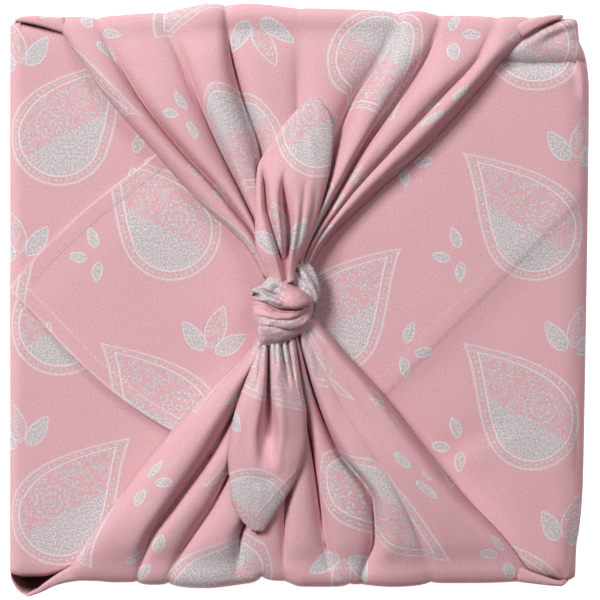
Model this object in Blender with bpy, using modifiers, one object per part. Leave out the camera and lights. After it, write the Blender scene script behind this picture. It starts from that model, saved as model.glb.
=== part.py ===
"""Furoshiki wrap: one square cloth folded round a shallow gift box and knotted on top.

The cloth is one solid. A band runs from the left corner flap, down the left side, under the box,
up the right side and back over the top as the right corner flap. A folded layer closes each
upright corner, and one of them is turned over the top. The upper and lower cloth corners come up
the long sides as gathered fans, meet in a square knot and end in two leaf-shaped free ends. The
box inside is a plain closed carton.

World frame: +X right, +Y towards the upper side, +Z up, origin at the centre of the footprint.
Sizes and tables are in millimetres, scaled to metres by MM where points are made.
Run with blender --background --python part.py.
"""
import math

import bmesh
import bpy
from mathutils import Vector

MM = 0.001

# ---------------------------------------------------------------- driving dimensions, mm
WRAP_LEFT = -146.0      # outer face of the left side
WRAP_RIGHT = 145.5      # outer face of the right side where it stands out most
CORNER_HALF_Y = 139.4   # outer face of the corner layers on the upper and lower sides
FAN_HALF_Y = 141.8      # outer face of the gathered fans on the upper and lower sides
CLOTH = 1.8             # thickness of one layer of cloth, hem and air included
CORNER_CLOTH = 1.0      # thickness of the corner layers, less than the band they run into
LEFT_FLAP_Z = 58.2      # top face of the left flap, the lower layer
RIGHT_FLAP_Z = 60.5     # top face of the right flap, the layer over it
FAN_Z = 62.8            # top face of a fan where it lies flat on the right flap
BRIM_RADIUS = 6.0       # upper edges of the parcel
FOOT_RADIUS = 4.0       # lower edges of the parcel
CORNER_RADIUS = 7.5     # upright edges of the parcel
CORNER_HEIGHT = 57.0    # highest point of the corner layers

BOX_LEFT = -141.0       # left and right ends of the box
BOX_RIGHT = 134.0
BOX_HALF_Y = 135.5
BOX_BOTTOM_Z = 2.2
BOX_TOP_Z = 54.0
BOX_EDGE = 0.8          # rounding of the box's edges

# Outer face of the right side: it is pulled in at both corners and bulges between them.
RIGHT_SIDE = (  # y, x
    (-141.0, 138.6), (-125.0, 139.2), (-115.0, 140.8), (-95.0, 142.4), (-50.0, 143.4),
    (50.0, 145.0), (107.0, 145.5), (114.0, 145.0), (123.0, 142.6), (130.0, 139.6), (141.0, 138.6),
)

# Outlines of the two flat corner flaps: the limits in Y at each X. Rows run from tip to brim.
RIGHT_FLAP = (  # x, lower y, upper y
    (-145.2, 2.0, 7.5), (-142.0, 1.0, 10.5), (-131.5, -9.0, 22.0), (-118.5, -23.5, 35.0),
    (-106.0, -35.5, 46.0), (-92.5, -47.5, 57.0), (-77.5, -58.0, 68.0), (-64.0, -66.0, 79.5),
    (-45.0, -77.0, 96.0), (-20.0, -95.0, 119.0), (0.0, -110.0, 132.5), (30.0, -131.0, 132.5),
    (75.0, -132.5, 132.5), (110.0, -134.5, 134.0), (133.0, -138.8, 138.8), (140.0, -139.0, 139.0),
)
LEFT_FLAP = (  # x, lower y, upper y
    (138.0, 47.5, 66.0), (120.0, 29.5, 84.0), (96.0, 5.5, 108.0), (71.0, -19.0, 132.5),
    (41.0, -49.0, 132.5), (5.0, -85.0, 132.5), (-42.0, -132.5, 132.5), (-90.0, -132.5, 132.5),
    (-119.0, -134.0, 133.0), (-131.0, -138.5, 136.5), (-140.0, -139.0, 139.4),
)

# The gathered fans. Each row is one fold from the side of the parcel to the knot: its X at the
# foot, at the brim and at the stations on top, how far the brim stands out, and its height over
# FAN_Z at the brim and at the stations. Ridges are high and valleys are low.
FAN_STATIONS_Y = (120.0, 100.0, 75.0, 50.0, 25.0)
UPPER_FAN = (
    # foot    brim    x at the stations                   stand-out  height at brim and stations
    (-137.2, -121.5, (-110.0, -96.0, -74.0, -52.0, -26.0), 0.0, (0.0, 0.0, 0.0, 0.0, 0.3, 2.0)),
    (-129.5, -114.0, (-103.0, -88.5, -67.5, -45.5, -23.0), 0.0, (1.6, 3.6, 4.6, 5.2, 6.2, 9.0)),
    (-115.1, -101.0, (-92.0, -80.5, -60.0, -37.0, -19.5), 0.0, (0.6, 0.8, 0.8, 0.6, 1.4, 4.0)),
    (-97.8, -87.0, (-75.0, -67.0, -51.5, -32.5, -18.0), 0.9, (1.0, 2.6, 4.0, 5.0, 6.4, 9.0)),
    (-80.5, -67.0, (-59.0, -51.5, -40.5, -28.0, -16.5), 3.0, (0.5, 1.2, 2.0, 2.0, 3.0, 5.5)),
    (-61.2, -44.5, (-43.5, -41.5, -32.0, -24.5, -15.0), 6.0, (2.2, 4.2, 5.0, 6.0, 8.0, 11.0)),
    (-45.9, -37.0, (-34.0, -28.5, -20.0, -16.0, -12.0), 6.6, (0.3, 0.5, 0.5, 0.8, 2.4, 5.5)),
    (-28.5, -24.0, (-21.0, -18.0, -13.0, -9.5, -8.5), 6.6, (1.2, 2.6, 3.2, 4.2, 6.4, 10.0)),
    (-7.4, 0.0, (0.0, 0.0, -1.0, -3.5, -5.0), 4.8, (0.8, 1.8, 2.0, 3.0, 5.0, 8.0)),
    (15.7, 17.5, (15.0, 11.0, 5.0, 0.0, -2.5), 4.0, (1.0, 2.6, 3.6, 5.0, 7.0, 10.5)),
    (40.7, 50.0, (41.0, 27.0, 17.0, 11.0, 0.5), 2.8, (0.2, 0.6, 0.8, 1.0, 3.0, 6.0)),
    (56.1, 60.0, (51.0, 39.5, 27.0, 14.0, 2.5), 2.4, (1.6, 3.6, 4.6, 5.6, 7.4, 10.5)),
    (73.4, 70.0, (62.5, 49.0, 31.5, 17.5, 4.0), 1.4, (0.3, 0.8, 0.6, 0.5, 0.8, 3.5)),
    (90.8, 81.0, (77.5, 61.0, 39.0, 21.0, 5.2), 0.2, (1.0, 3.2, 4.6, 5.0, 5.6, 8.0)),
    (108.1, 98.5, (88.5, 70.0, 46.5, 24.0, 6.4), -0.2, (0.8, 2.0, 2.8, 3.4, 4.0, 6.0)),
    (121.5, 108.5, (96.0, 79.0, 55.0, 29.0, 8.4), -0.2, (2.2, 4.8, 5.8, 6.2, 7.0, 10.0)),
    (131.2, 117.5, (102.0, 85.5, 62.5, 35.0, 10.5), -0.2, (0.0, 0.0, 0.0, 0.0, 0.3, 2.0)),
)
LOWER_FAN = (
    (-137.2, -117.0, (-106.0, -91.0, -72.0, -49.5, -25.0), -0.4, (0.0, 0.0, 0.0, 0.0, 0.3, 2.0)),
    (-130.5, -109.0, (-99.5, -85.5, -67.5, -46.5, -23.2), -0.4, (1.6, 3.4, 4.2, 4.6, 6.0, 9.0)),
    (-122.8, -101.0, (-93.5, -79.5, -62.5, -42.5, -21.8), -0.4, (1.2, 2.6, 3.2, 3.8, 5.0, 7.6)),
    (-111.3, -91.0, (-82.5, -69.5, -53.5, -37.0, -20.2), 0.0, (1.4, 3.8, 5.0, 5.8, 7.0, 9.4)),
    (-95.9, -81.0, (-75.0, -61.0, -43.0, -29.5, -18.6), 1.0, (0.4, 0.6, 0.6, 0.6, 1.2, 4.0)),
    (-82.4, -74.0, (-66.0, -51.5, -36.0, -25.0, -17.0), 1.6, (1.0, 2.8, 3.6, 4.2, 5.6, 8.6)),
    (-68.9, -66.0, (-55.0, -42.0, -30.0, -21.0, -15.8), 2.0, (0.4, 0.8, 1.4, 2.0, 3.4, 6.0)),
    (-49.7, -47.5, (-39.0, -28.5, -22.5, -17.0, -14.0), 3.2, (1.6, 3.2, 4.0, 4.6, 6.2, 9.4)),
    (-34.3, -31.0, (-30.0, -22.0, -17.0, -14.0, -12.0), 2.4, (0.3, 0.8, 1.0, 1.6, 3.4, 6.4)),
    (-20.8, -19.0, (-17.5, -13.5, -11.5, -10.0, -9.6), -1.2, (1.0, 2.4, 3.4, 4.2, 6.0, 9.4)),
    (-9.3, -7.5, (-8.0, -7.0, -6.0, -6.0, -7.0), 0.6, (0.6, 1.2, 1.4, 1.8, 3.4, 6.4)),
    (0.3, 1.0, (0.5, 0.5, 0.0, -2.0, -4.5), 2.6, (1.4, 3.0, 3.8, 4.4, 6.0, 9.2)),
    (13.8, 16.0, (12.0, 9.5, 6.0, 1.5, -2.0), 3.4, (0.4, 0.8, 1.2, 1.4, 3.0, 6.0)),
    (24.4, 25.0, (24.0, 18.5, 11.0, 4.5, -0.5), 1.2, (1.6, 3.4, 4.2, 4.2, 5.0, 8.0)),
    (31.1, 30.5, (37.0, 36.0, 18.5, 8.0, 0.8), 2.4, (0.2, 0.4, 0.5, 0.5, 0.6, 3.2)),
    (44.6, 46.0, (48.5, 42.5, 25.0, 12.0, 3.0), 2.2, (1.8, 4.0, 5.2, 5.8, 6.6, 9.4)),
    (61.9, 66.0, (60.0, 51.0, 36.0, 20.0, 6.4), 0.6, (0.8, 2.2, 3.2, 4.0, 5.0, 7.4)),
    (81.1, 77.5, (73.0, 62.5, 46.0, 28.0, 11.0), 0.6, (1.2, 3.4, 4.4, 5.0, 5.8, 8.0)),
    (100.4, 94.0, (87.5, 73.5, 54.0, 36.0, 15.5), 0.6, (0.8, 2.4, 3.4, 4.2, 5.2, 7.0)),
    (119.6, 107.5, (96.5, 78.0, 58.5, 39.5, 18.6), 0.2, (1.4, 3.2, 4.2, 4.8, 5.8, 7.6)),
    (131.2, 115.0, (102.5, 83.5, 63.0, 43.5, 21.0), 0.0, (0.0, 0.0, 0.0, 0.0, 0.3, 1.4)),
)

KNOT_CENTRE = (-7.0, -4.0)
GATHER_END_Y = 11.0     # the fans end inside the knot, this far from its middle
GATHER_SQUEEZE = 0.55   # width of a fan where it ends, as a share of its width at the last station
GATHER_LIFT = 3.0       # rise of a fan from its last station into the knot

# The strands of the knot: points along each strand, with its half width and half height there.
# The half width is along the second direction of the strand's section.
KNOT_CORE = ((-7.5, -4.0, 71.5), (13.0, 17.0, 10.0))
WRAP_STRAND = (  # x, y, z, half width, half height
    (-6.0, -9.0, 66.0, 6.0, 3.0), (-18.0, -8.0, 66.5, 9.0, 3.8), (-24.0, -6.5, 72.5, 12.0, 4.4),
    (-19.5, -4.5, 80.5, 14.0, 4.6), (-8.5, -3.5, 83.2, 13.5, 4.8), (2.0, -4.0, 79.6, 11.5, 4.6),
    (6.4, -5.0, 72.4, 9.5, 4.2), (2.0, -6.0, 67.0, 7.0, 3.2),
)
LOWER_STRAND = (
    (-8.0, -2.0, 75.0, 14.0, 7.0), (-8.5, -12.0, 74.5, 14.2, 8.6), (-9.5, -18.0, 73.0, 11.6, 7.8),
    (-10.5, -22.5, 71.5, 8.4, 6.2), (-11.0, -27.0, 71.0, 6.6, 4.4),
)
UPPER_STRAND = (
    (3.0, 24.0, 69.5, 4.4, 2.8), (5.6, 15.0, 73.0, 5.4, 3.6), (7.4, 7.0, 74.6, 6.0, 4.0),
    (7.0, -1.0, 72.0, 5.4, 3.8), (2.0, -6.0, 69.0, 4.0, 3.0),
)

# The free ends: at each Y the limits in X, the height of the rim, the rise of the crown above
# it, and the depth of the two valleys that run out of the knot.
UPPER_TAIL = (  # y, left x, right x, rim z, crown, valley depth
    (8.0, -13.5, -3.0, 77.0, 3.6, 1.2), (14.0, -16.5, -2.5, 77.0, 4.6, 2.6),
    (21.0, -20.0, 0.5, 76.8, 6.0, 4.0), (30.0, -22.0, 4.6, 76.2, 7.6, 4.6),
    (42.0, -22.0, 9.0, 75.0, 8.2, 4.4), (54.0, -21.8, 12.4, 74.0, 8.0, 3.0),
    (64.0, -21.0, 14.8, 73.0, 7.0, 1.0), (72.0, -17.6, 15.8, 72.4, 5.8, 0.2),
    (80.0, -12.4, 16.2, 72.0, 4.6, 0.0), (88.0, -6.4, 15.4, 71.6, 3.6, 0.0),
    (94.0, -1.0, 13.0, 71.2, 2.6, 0.0), (99.0, 3.4, 9.0, 70.8, 1.0, 0.0),
)
LOWER_TAIL = (
    (-20.0, -17.0, -4.5, 73.8, 3.4, 1.4), (-27.0, -21.5, -2.8, 74.6, 5.0, 3.2),
    (-36.0, -25.0, -0.8, 74.6, 6.8, 5.0), (-46.0, -28.8, 1.4, 74.0, 7.8, 5.6),
    (-57.0, -32.4, 3.2, 73.2, 8.0, 5.6), (-68.0, -34.6, 3.4, 72.6, 7.6, 4.4),
    (-79.0, -35.4, 1.6, 72.2, 6.8, 2.2), (-90.0, -34.6, -2.6, 71.8, 5.6, 0.6),
    (-100.0, -33.4, -8.4, 71.4, 4.4, 0.0), (-108.0, -29.4, -14.0, 71.0, 3.0, 0.0),
    (-115.0, -23.4, -19.0, 70.6, 1.0, 0.0),
)
TAIL_VALLEYS = ((-0.38, 0.16, 0.8), (0.10, 0.15, 1.0))  # place across, width, share of the depth


# ---------------------------------------------------------------- small helpers
def smooth_step(value):
    value = min(max(value, 0.0), 1.0)
    return value * value * (3.0 - 2.0 * value)


def read_table(table, position, column):
    """Linear reading of one column of a table whose first column is the position."""
    rows = sorted(table)
    if position <= rows[0][0]:
        return rows[0][column]
    for low, high in zip(rows, rows[1:]):
        if position <= high[0]:
            share = (position - low[0]) / (high[0] - low[0])
            return low[column] + share * (high[column] - low[column])
    return rows[-1][column]


def curve_between(values, place):
    """Catmull-Rom reading of a list of numbers at a place from 0 to its last index."""
    index = min(int(place), len(values) - 2)
    share = place - index
    before = values[max(index - 1, 0)]
    start, end = values[index], values[index + 1]
    after = values[min(index + 2, len(values) - 1)]
    return 0.5 * (
        2.0 * start
        + (end - before) * share
        + (2.0 * before - 5.0 * start + 4.0 * end - after) * share ** 2
        + (3.0 * start - before - 3.0 * end + after) * share ** 3
    )


def arc_points(centre, radius, start, end, steps):
    """Points of an arc in a plane, angles in degrees, both ends included."""
    angles = [math.radians(start + (end - start) * step / steps) for step in range(steps + 1)]
    return [(centre[0] + radius * math.cos(a), centre[1] + radius * math.sin(a)) for a in angles]


def add_grid(mesh, rows, closed_across=False, flip=False):
    """Add quads over rows of points in mm and return the grid of vertices."""
    grid = [[mesh.verts.new(Vector(point) * MM) for point in row] for row in rows]
    columns = len(rows[0])
    last = columns if closed_across else columns - 1
    for low, high in zip(grid, grid[1:]):
        for column in range(last):
            beside = (column + 1) % columns
            corners = [low[column], low[beside], high[beside], high[column]]
            mesh.faces.new(corners[::-1] if flip else corners)
    return grid


def add_rim(mesh, outer, inner):
    """Close the edge between two grids of the same size that face away from each other."""
    def border(grid):
        sides = [row[-1] for row in grid[1:-1]]
        return grid[0] + sides + grid[-1][::-1] + [row[0] for row in grid[1:-1]][::-1]

    ring_out, ring_in = border(outer), border(inner)
    count = len(ring_out)
    for index in range(count):
        after = (index + 1) % count
        mesh.faces.new([ring_out[after], ring_out[index], ring_in[index], ring_in[after]])


def make_object(name, mesh, collection):
    bmesh.ops.recalc_face_normals(mesh, faces=mesh.faces)
    bmesh.ops.triangulate(mesh, faces=mesh.faces)
    data = bpy.data.meshes.new(name)
    mesh.to_mesh(data)
    mesh.free()
    data.shade_smooth()
    made = bpy.data.objects.new(name, data)
    collection.objects.link(made)
    return made


def add_solidify(made, thickness):
    """Give an open surface its thickness, inwards from its outer face."""
    solidify = made.modifiers.new("Thickness", "SOLIDIFY")
    solidify.thickness = thickness * MM
    solidify.offset = -1.0
    solidify.use_even_offset = False


def make_material(name, colour, roughness):
    material = bpy.data.materials.new(name)
    material.use_nodes = True
    shader = material.node_tree.nodes["Principled BSDF"]
    shader.inputs["Base Color"].default_value = colour
    shader.inputs["Roughness"].default_value = roughness
    shader.inputs["Metallic"].default_value = 0.0
    material.diffuse_color = colour
    return material


# ---------------------------------------------------------------- the band and its two flaps
SIDE_PLACES = (-131.0, -125.0, -115.0, -95.0, -50.0, 0.0, 50.0, 107.0, 114.0, 123.0, 131.0)
BAND_COLUMNS = len(SIDE_PLACES)
BRIM_SPREADS = (1.05, 1.03, 1.01, 1.0)
FLAP_DROOP = 2.2        # how far a flap's edge turns down over the upper and lower brim
LEFT_FLAP_EDGE = 91.0   # the left flap's lower edge runs along x - y = this
LAYER_STEP = 1.5        # the right flap steps down beyond that edge
LAYER_STEP_WIDTH = 9.0
LAYER_STEP_FADE = 30.0  # the step fades out towards the left over this much of X


def right_side_x(y):
    return read_table(RIGHT_SIDE, y, 1)


def pull_right_side(x, y):
    """Move a point near the right side with that side's own outline."""
    return x - (WRAP_RIGHT - right_side_x(y)) * smooth_step((x - 90.0) / 50.0)


def layer_step(x, y):
    """How far the right flap sinks where the left flap doesn't lie under it."""
    beyond = (x - y - LEFT_FLAP_EDGE) / LAYER_STEP_WIDTH
    return LAYER_STEP * smooth_step(beyond) * smooth_step(x / LAYER_STEP_FADE)


def flap_height(top_z, x, y):
    """A flap lies flat, turns down at the brims and sinks where the left flap isn't under it."""
    over_brim = max(abs(y) - 132.5, 0.0) / 7.0
    height = top_z - FLAP_DROOP * over_brim ** 2
    if top_z == RIGHT_FLAP_Z:
        height -= layer_step(x, y)
    return height


def side_columns(spread):
    return [place * spread for place in SIDE_PLACES]


def flap_columns(x, low_y, high_y, stepped):
    """Places across a row. On the right flap one of them lies on the edge of the flap below."""
    edge = x - LEFT_FLAP_EDGE
    foot = edge - LAYER_STEP_WIDTH
    if not stepped or foot < low_y + 4.0 or edge > high_y - 4.0:
        step = (high_y - low_y) / (BAND_COLUMNS - 1)
        return [low_y + step * column for column in range(BAND_COLUMNS)]
    below = BAND_COLUMNS // 2 + 1
    above = BAND_COLUMNS - below
    places = [low_y + (foot - low_y) * column / (below - 1) for column in range(below)]
    return places + [edge + (high_y - edge) * column / (above - 1) for column in range(above)]


def band_rows():
    """Rows of points across Y, from the left flap's tip round the parcel to the right flap's."""
    rows = []

    def add_flap_row(x, low_y, high_y, top_z):
        places = flap_columns(x, low_y, high_y, top_z == RIGHT_FLAP_Z)
        rows.append([(pull_right_side(x, y), y, flap_height(top_z, x, y)) for y in places])

    def add_side_row(x, z, spread, sunk=0.0):
        places = side_columns(spread)
        rows.append([(pull_right_side(x, y), y, z - sunk * layer_step(x, y)) for y in places])

    for x, low_y, high_y in LEFT_FLAP:
        add_flap_row(x, low_y, high_y, LEFT_FLAP_Z)
    brim = (WRAP_LEFT + BRIM_RADIUS, LEFT_FLAP_Z - BRIM_RADIUS)
    for (x, z), spread in zip(arc_points(brim, BRIM_RADIUS, 115, 180, 3), BRIM_SPREADS):
        add_side_row(x, z, spread)
    for z in (38.0, 20.0):
        add_side_row(WRAP_LEFT, z, 1.0)
    foot = (WRAP_LEFT + FOOT_RADIUS, FOOT_RADIUS)
    for x, z in arc_points(foot, FOOT_RADIUS, 180, 270, 3):
        add_side_row(x, z, 1.0)
    for x in (-125.0, 0.0, 125.0):
        add_side_row(x, 0.0, 1.0)
    foot = (WRAP_RIGHT - FOOT_RADIUS, FOOT_RADIUS)
    for x, z in arc_points(foot, FOOT_RADIUS, 270, 360, 3):
        add_side_row(x, z, 1.0)
    for z in (20.0, 38.0):
        add_side_row(WRAP_RIGHT, z, 1.0)
    brim = (WRAP_RIGHT - BRIM_RADIUS, RIGHT_FLAP_Z - BRIM_RADIUS)
    for step, (x, z) in enumerate(arc_points(brim, BRIM_RADIUS, 0, 65, 3)):
        add_side_row(x, z, BRIM_SPREADS[3 - step], step / 3.0)
    for x, low_y, high_y in reversed(RIGHT_FLAP):
        add_flap_row(x, low_y, high_y, RIGHT_FLAP_Z)
    return rows


def build_band(collection):
    mesh = bmesh.new()
    add_grid(mesh, band_rows())
    band = make_object("furoshiki_cloth", mesh, collection)
    add_solidify(band, CLOTH)
    return band


# ---------------------------------------------------------------- corner folds
CORNER_INSET = 0.4      # a corner fold's outer face lies this far inside the band's
CORNER_SIDE_Y = (121.0, 127.0)      # its columns on the short side
FOLD_START = 12.0       # width of a corner fold on the long side, at the floor
FOLD_SLOPE = 0.9        # and how much wider it gets for each unit of height
FOLD_SHARES = (0.26, 0.42, 1.0)     # its columns on the long side, as shares of that width
CORNER_TOPS = (50.5, 50.5, 53.0, 55.5, 56.5, 57.0, 57.0, 57.0, 53.0, 53.0)  # height of each column
EAR_CENTRE_X = -136.0   # the lower left corner fold stands out as a small open ear
EAR_WIDTH = 6.0
EAR_REACH = 9.5


def corner_row(x_side, y_side, inset, z):
    """One row of a corner fold, from the short side round the upright edge to the long side."""
    radius = max(CORNER_RADIUS - inset, 0.8)
    half_y = CORNER_HALF_Y - inset
    if x_side > 0:
        edge_x = right_side_x(y_side * (CORNER_HALF_Y - CORNER_RADIUS)) - CORNER_INSET - inset
    else:
        edge_x = WRAP_LEFT + CORNER_INSET + inset
    points = []
    for y in CORNER_SIDE_Y:
        side = right_side_x(y_side * y) - CORNER_INSET - inset if x_side > 0 else edge_x
        points.append((side, y_side * y))
    centre = (edge_x - x_side * radius, half_y - radius)
    for along, across in arc_points((0.0, 0.0), radius, 0, 90, 4):
        points.append((centre[0] + x_side * along, y_side * (centre[1] + across)))
    end_x = edge_x - x_side * (FOLD_START + FOLD_SLOPE * z)
    for share in FOLD_SHARES:
        points.append((centre[0] + (end_x - centre[0]) * share, y_side * half_y))
    return points


def build_corner(name, x_side, y_side, collection):
    insets = [(FOOT_RADIUS + 4.0, CORNER_INSET)]
    insets += arc_points((FOOT_RADIUS, FOOT_RADIUS), FOOT_RADIUS - CORNER_INSET, 270, 180, 3)
    insets += [(0.0, 18.0), (0.0, 34.0), (0.0, 47.0), (0.0, CORNER_HEIGHT)]
    rows = []
    for inset, z in insets:
        points = corner_row(x_side, y_side, max(inset, 0.0), z)
        row = []
        for index, (x, y) in enumerate(points):
            height = z * CORNER_TOPS[index] / CORNER_HEIGHT if z > FOOT_RADIUS else z
            if x_side < 0 and y_side < 0:
                bulge = math.exp(-((x - EAR_CENTRE_X) / EAR_WIDTH) ** 2)
                y -= EAR_REACH * bulge * smooth_step((z - 24.0) / 30.0)
            row.append((x, y, height))
        rows.append(row)
    mesh = bmesh.new()
    add_grid(mesh, rows, flip=x_side * y_side < 0)
    corner = make_object(name, mesh, collection)
    add_solidify(corner, CORNER_CLOTH)
    return corner


TURNED_CORNER = (  # left x, right x, y, z, inward y, inward z of the turned-over upper right corner
    (119.5, 131.0, 139.7, 48.0, -0.5, 0.0), (119.5, 131.0, 139.7, 54.0, -0.5, 0.0),
    (119.0, 134.5, 140.6, 58.6, -1.2, -0.6), (118.0, 136.0, 138.8, 61.4, -0.8, -1.0),
    (115.5, 137.0, 134.0, 62.6, 0.0, -1.3), (110.0, 138.0, 127.5, 62.9, 0.0, -1.4),
    (105.2, 139.0, 121.4, 62.5, 0.0, -1.5), (104.6, 139.0, 120.2, 61.9, 0.0, -0.9),
)
TURNED_COLUMNS = 7


def build_turned_corner(collection):
    outer_rows, inner_rows = [], []
    for left, right, y, z, inward_y, inward_z in TURNED_CORNER:
        step = (right - left) / (TURNED_COLUMNS - 1)
        places = [left + step * column for column in range(TURNED_COLUMNS)]
        outer_rows.append([(x, y, z) for x in places])
        inner_rows.append([(x, y + inward_y, z + inward_z) for x in places])
    mesh = bmesh.new()
    outer_grid = add_grid(mesh, outer_rows, flip=True)
    inner_grid = add_grid(mesh, inner_rows)
    add_rim(mesh, outer_grid, inner_grid)
    return make_object("turned_corner", mesh, collection)


# ---------------------------------------------------------------- gathered fans
FAN_FINE = 2            # columns for each step from one fold to the next
FAN_FOOT_Z = 0.2        # the fans start inside the floor's cloth
FAN_FOOT_CLOTH = 1.4
FIRST_TOP_STATION = 9   # from this point of the profile on, a fan lies on the parcel's top


def fan_profile(fold, side):
    """One fold as (x, y, z of its outer point, step inwards in y and z) from floor to knot."""
    foot, brim, places, stand_out, heights = fold
    half_y = FAN_HALF_Y
    brim_y = half_y + stand_out
    top = FAN_Z + heights[0]
    points = [
        (foot, half_y - 17.0, FAN_FOOT_Z, 0.0, FAN_FOOT_CLOTH),
        (foot, half_y - 3.0, FAN_FOOT_Z, 0.0, FAN_FOOT_CLOTH),
        (foot, half_y - 0.8, FAN_FOOT_Z + 0.6, -0.8, 0.4),
        (foot, half_y, 3.4, -1.4, 0.0),
        (foot + 0.05 * (brim - foot), half_y, 8.0, -1.4, 0.0),
        (foot + 0.5 * (brim - foot), half_y + 0.45 * stand_out, 30.0, -1.4, 0.0),
        (foot + 0.9 * (brim - foot), brim_y, 51.0, -1.5, 0.0),
        (foot + 0.97 * (brim - foot), brim_y - 0.8, top - 5.2, -1.4, -0.5),
        (brim, brim_y - 3.4, top - 1.4, -0.9, -1.4),
        (brim + 0.25 * (places[0] - brim), brim_y - 8.5, top, 0.0, -CLOTH),
    ]
    for place, station, height in zip(places, FAN_STATIONS_Y, heights[1:]):
        points.append((place, station, FAN_Z + height, 0.0, -CLOTH))
    last = KNOT_CENTRE[0] + GATHER_SQUEEZE * (places[-1] - KNOT_CENTRE[0])
    points.append((last, GATHER_END_Y, FAN_Z + 0.5 * heights[-1] + GATHER_LIFT, 0.0, -CLOTH))
    return [(x, side * y, z, side * inward_y, inward_z) for x, y, z, inward_y, inward_z in points]


def fan_columns(table, side):
    """Columns of the fan: every fold, the points between folds, and the folded side edges."""
    folds = [fan_profile(fold, side) for fold in table]
    columns = []
    steps = (len(folds) - 1) * FAN_FINE
    for step in range(steps + 1):
        place = step / FAN_FINE
        column = []
        for station in zip(*folds):
            numbers = zip(*station)
            column.append([curve_between(list(series), place) for series in numbers])
        columns.append(column)
    return columns


def build_fan(name, table, side, collection):
    columns = fan_columns(table, side)
    stations = len(columns[0])
    floor_level = FAN_Z - CLOTH
    outer_rows, inner_rows = [], []
    for station in range(stations):
        outer, inner = [], []
        for column in columns:
            x, y, z, inward_y, inward_z = column[station]
            inner_z = z + inward_z
            if station >= FIRST_TOP_STATION:
                inner_z = max(inner_z, floor_level)
            outer.append((x, y, z))
            inner.append((x, y + inward_y, inner_z))
        outer_rows.append(outer)
        inner_rows.append(inner)
    mesh = bmesh.new()
    outer_grid = add_grid(mesh, outer_rows, flip=side > 0)
    inner_grid = add_grid(mesh, inner_rows, flip=side < 0)
    add_rim(mesh, outer_grid, inner_grid)
    return make_object(name, mesh, collection)


# ---------------------------------------------------------------- knot and free ends
STRAND_SIDES = 12


def build_core(collection):
    mesh = bmesh.new()
    bmesh.ops.create_uvsphere(mesh, u_segments=16, v_segments=8, radius=1.0)
    centre, radii = KNOT_CORE
    for vertex in mesh.verts:
        vertex.co = Vector(centre[axis] + radii[axis] * vertex.co[axis] for axis in range(3)) * MM
    return make_object("knot_core", mesh, collection)


def build_strand(name, table, across, collection):
    """A closed strand of oval sections along its table, wide along the given direction."""
    count = 2 * (len(table) - 1)
    rows = []
    for step in range(count + 1):
        place = step / 2.0
        point = [curve_between([row[axis] for row in table], place) for axis in range(5)]
        ahead = [curve_between([row[axis] for row in table], min(place + 0.3, len(table) - 1.001))
                 for axis in range(3)]
        back = [curve_between([row[axis] for row in table], max(place - 0.3, 0.0)) for axis in range(3)]
        along = (Vector(ahead) - Vector(back)).normalized()
        wide = (Vector(across) - along * along.dot(Vector(across))).normalized()
        high = along.cross(wide)
        row = []
        for index in range(STRAND_SIDES):
            angle = 2.0 * math.pi * index / STRAND_SIDES
            offset = wide * (point[3] * math.cos(angle)) + high * (point[4] * math.sin(angle))
            row.append(Vector(point[:3]) + offset)
        rows.append(row)
    mesh = bmesh.new()
    grid = add_grid(mesh, rows, closed_across=True)
    mesh.faces.new(grid[0][::-1])
    mesh.faces.new(grid[-1])
    return make_object(name, mesh, collection)


TAIL_COLUMNS = 15


def tail_rise(across, valley_depth, crown):
    """Height over the rim at a place across the tail, from -1 at its left to 1 at its right."""
    rise = crown * math.sqrt(max(1.0 - across * across, 0.0)) ** 0.8
    for place, width, share in TAIL_VALLEYS:
        rise -= valley_depth * share * math.exp(-((across - place) / width) ** 2)
    return rise


def build_tail(name, table, collection):
    outer_rows, inner_rows = [], []
    for y, left, right, rim, crown, valley in table:
        outer, inner = [], []
        for column in range(TAIL_COLUMNS):
            across = -math.cos(math.pi * column / (TAIL_COLUMNS - 1))
            x = left + (right - left) * (across + 1.0) / 2.0
            rise = tail_rise(across, valley, crown)
            outer.append((x, y, rim + rise))
            inner.append((x, y, rim + rise - CLOTH))
        outer_rows.append(outer)
        inner_rows.append(inner)
    mesh = bmesh.new()
    upward = table[-1][0] > table[0][0]
    outer_grid = add_grid(mesh, outer_rows, flip=not upward)
    inner_grid = add_grid(mesh, inner_rows, flip=upward)
    add_rim(mesh, outer_grid, inner_grid)
    return make_object(name, mesh, collection)


# ---------------------------------------------------------------- box
def build_box(collection):
    mesh = bmesh.new()
    bmesh.ops.create_cube(mesh, size=1.0)
    size = (BOX_RIGHT - BOX_LEFT, 2.0 * BOX_HALF_Y, BOX_TOP_Z - BOX_BOTTOM_Z)
    centre = ((BOX_RIGHT + BOX_LEFT) / 2.0, 0.0, (BOX_TOP_Z + BOX_BOTTOM_Z) / 2.0)
    for vertex in mesh.verts:
        vertex.co = Vector(centre[axis] + size[axis] * vertex.co[axis] for axis in range(3)) * MM
    box = make_object("gift_box", mesh, collection)
    box.data.shade_flat()
    bevel = box.modifiers.new("Edges", "BEVEL")
    bevel.width = BOX_EDGE * MM
    bevel.segments = 2
    return box


# ---------------------------------------------------------------- assembly
def new_collection(name):
    collection = bpy.data.collections.new(name)
    bpy.context.scene.collection.children.link(collection)
    return collection


def add_union(target, shape):
    boolean = target.modifiers.new(shape.name, "BOOLEAN")
    boolean.operation = "UNION"
    boolean.solver = "EXACT"
    boolean.object = shape


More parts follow.
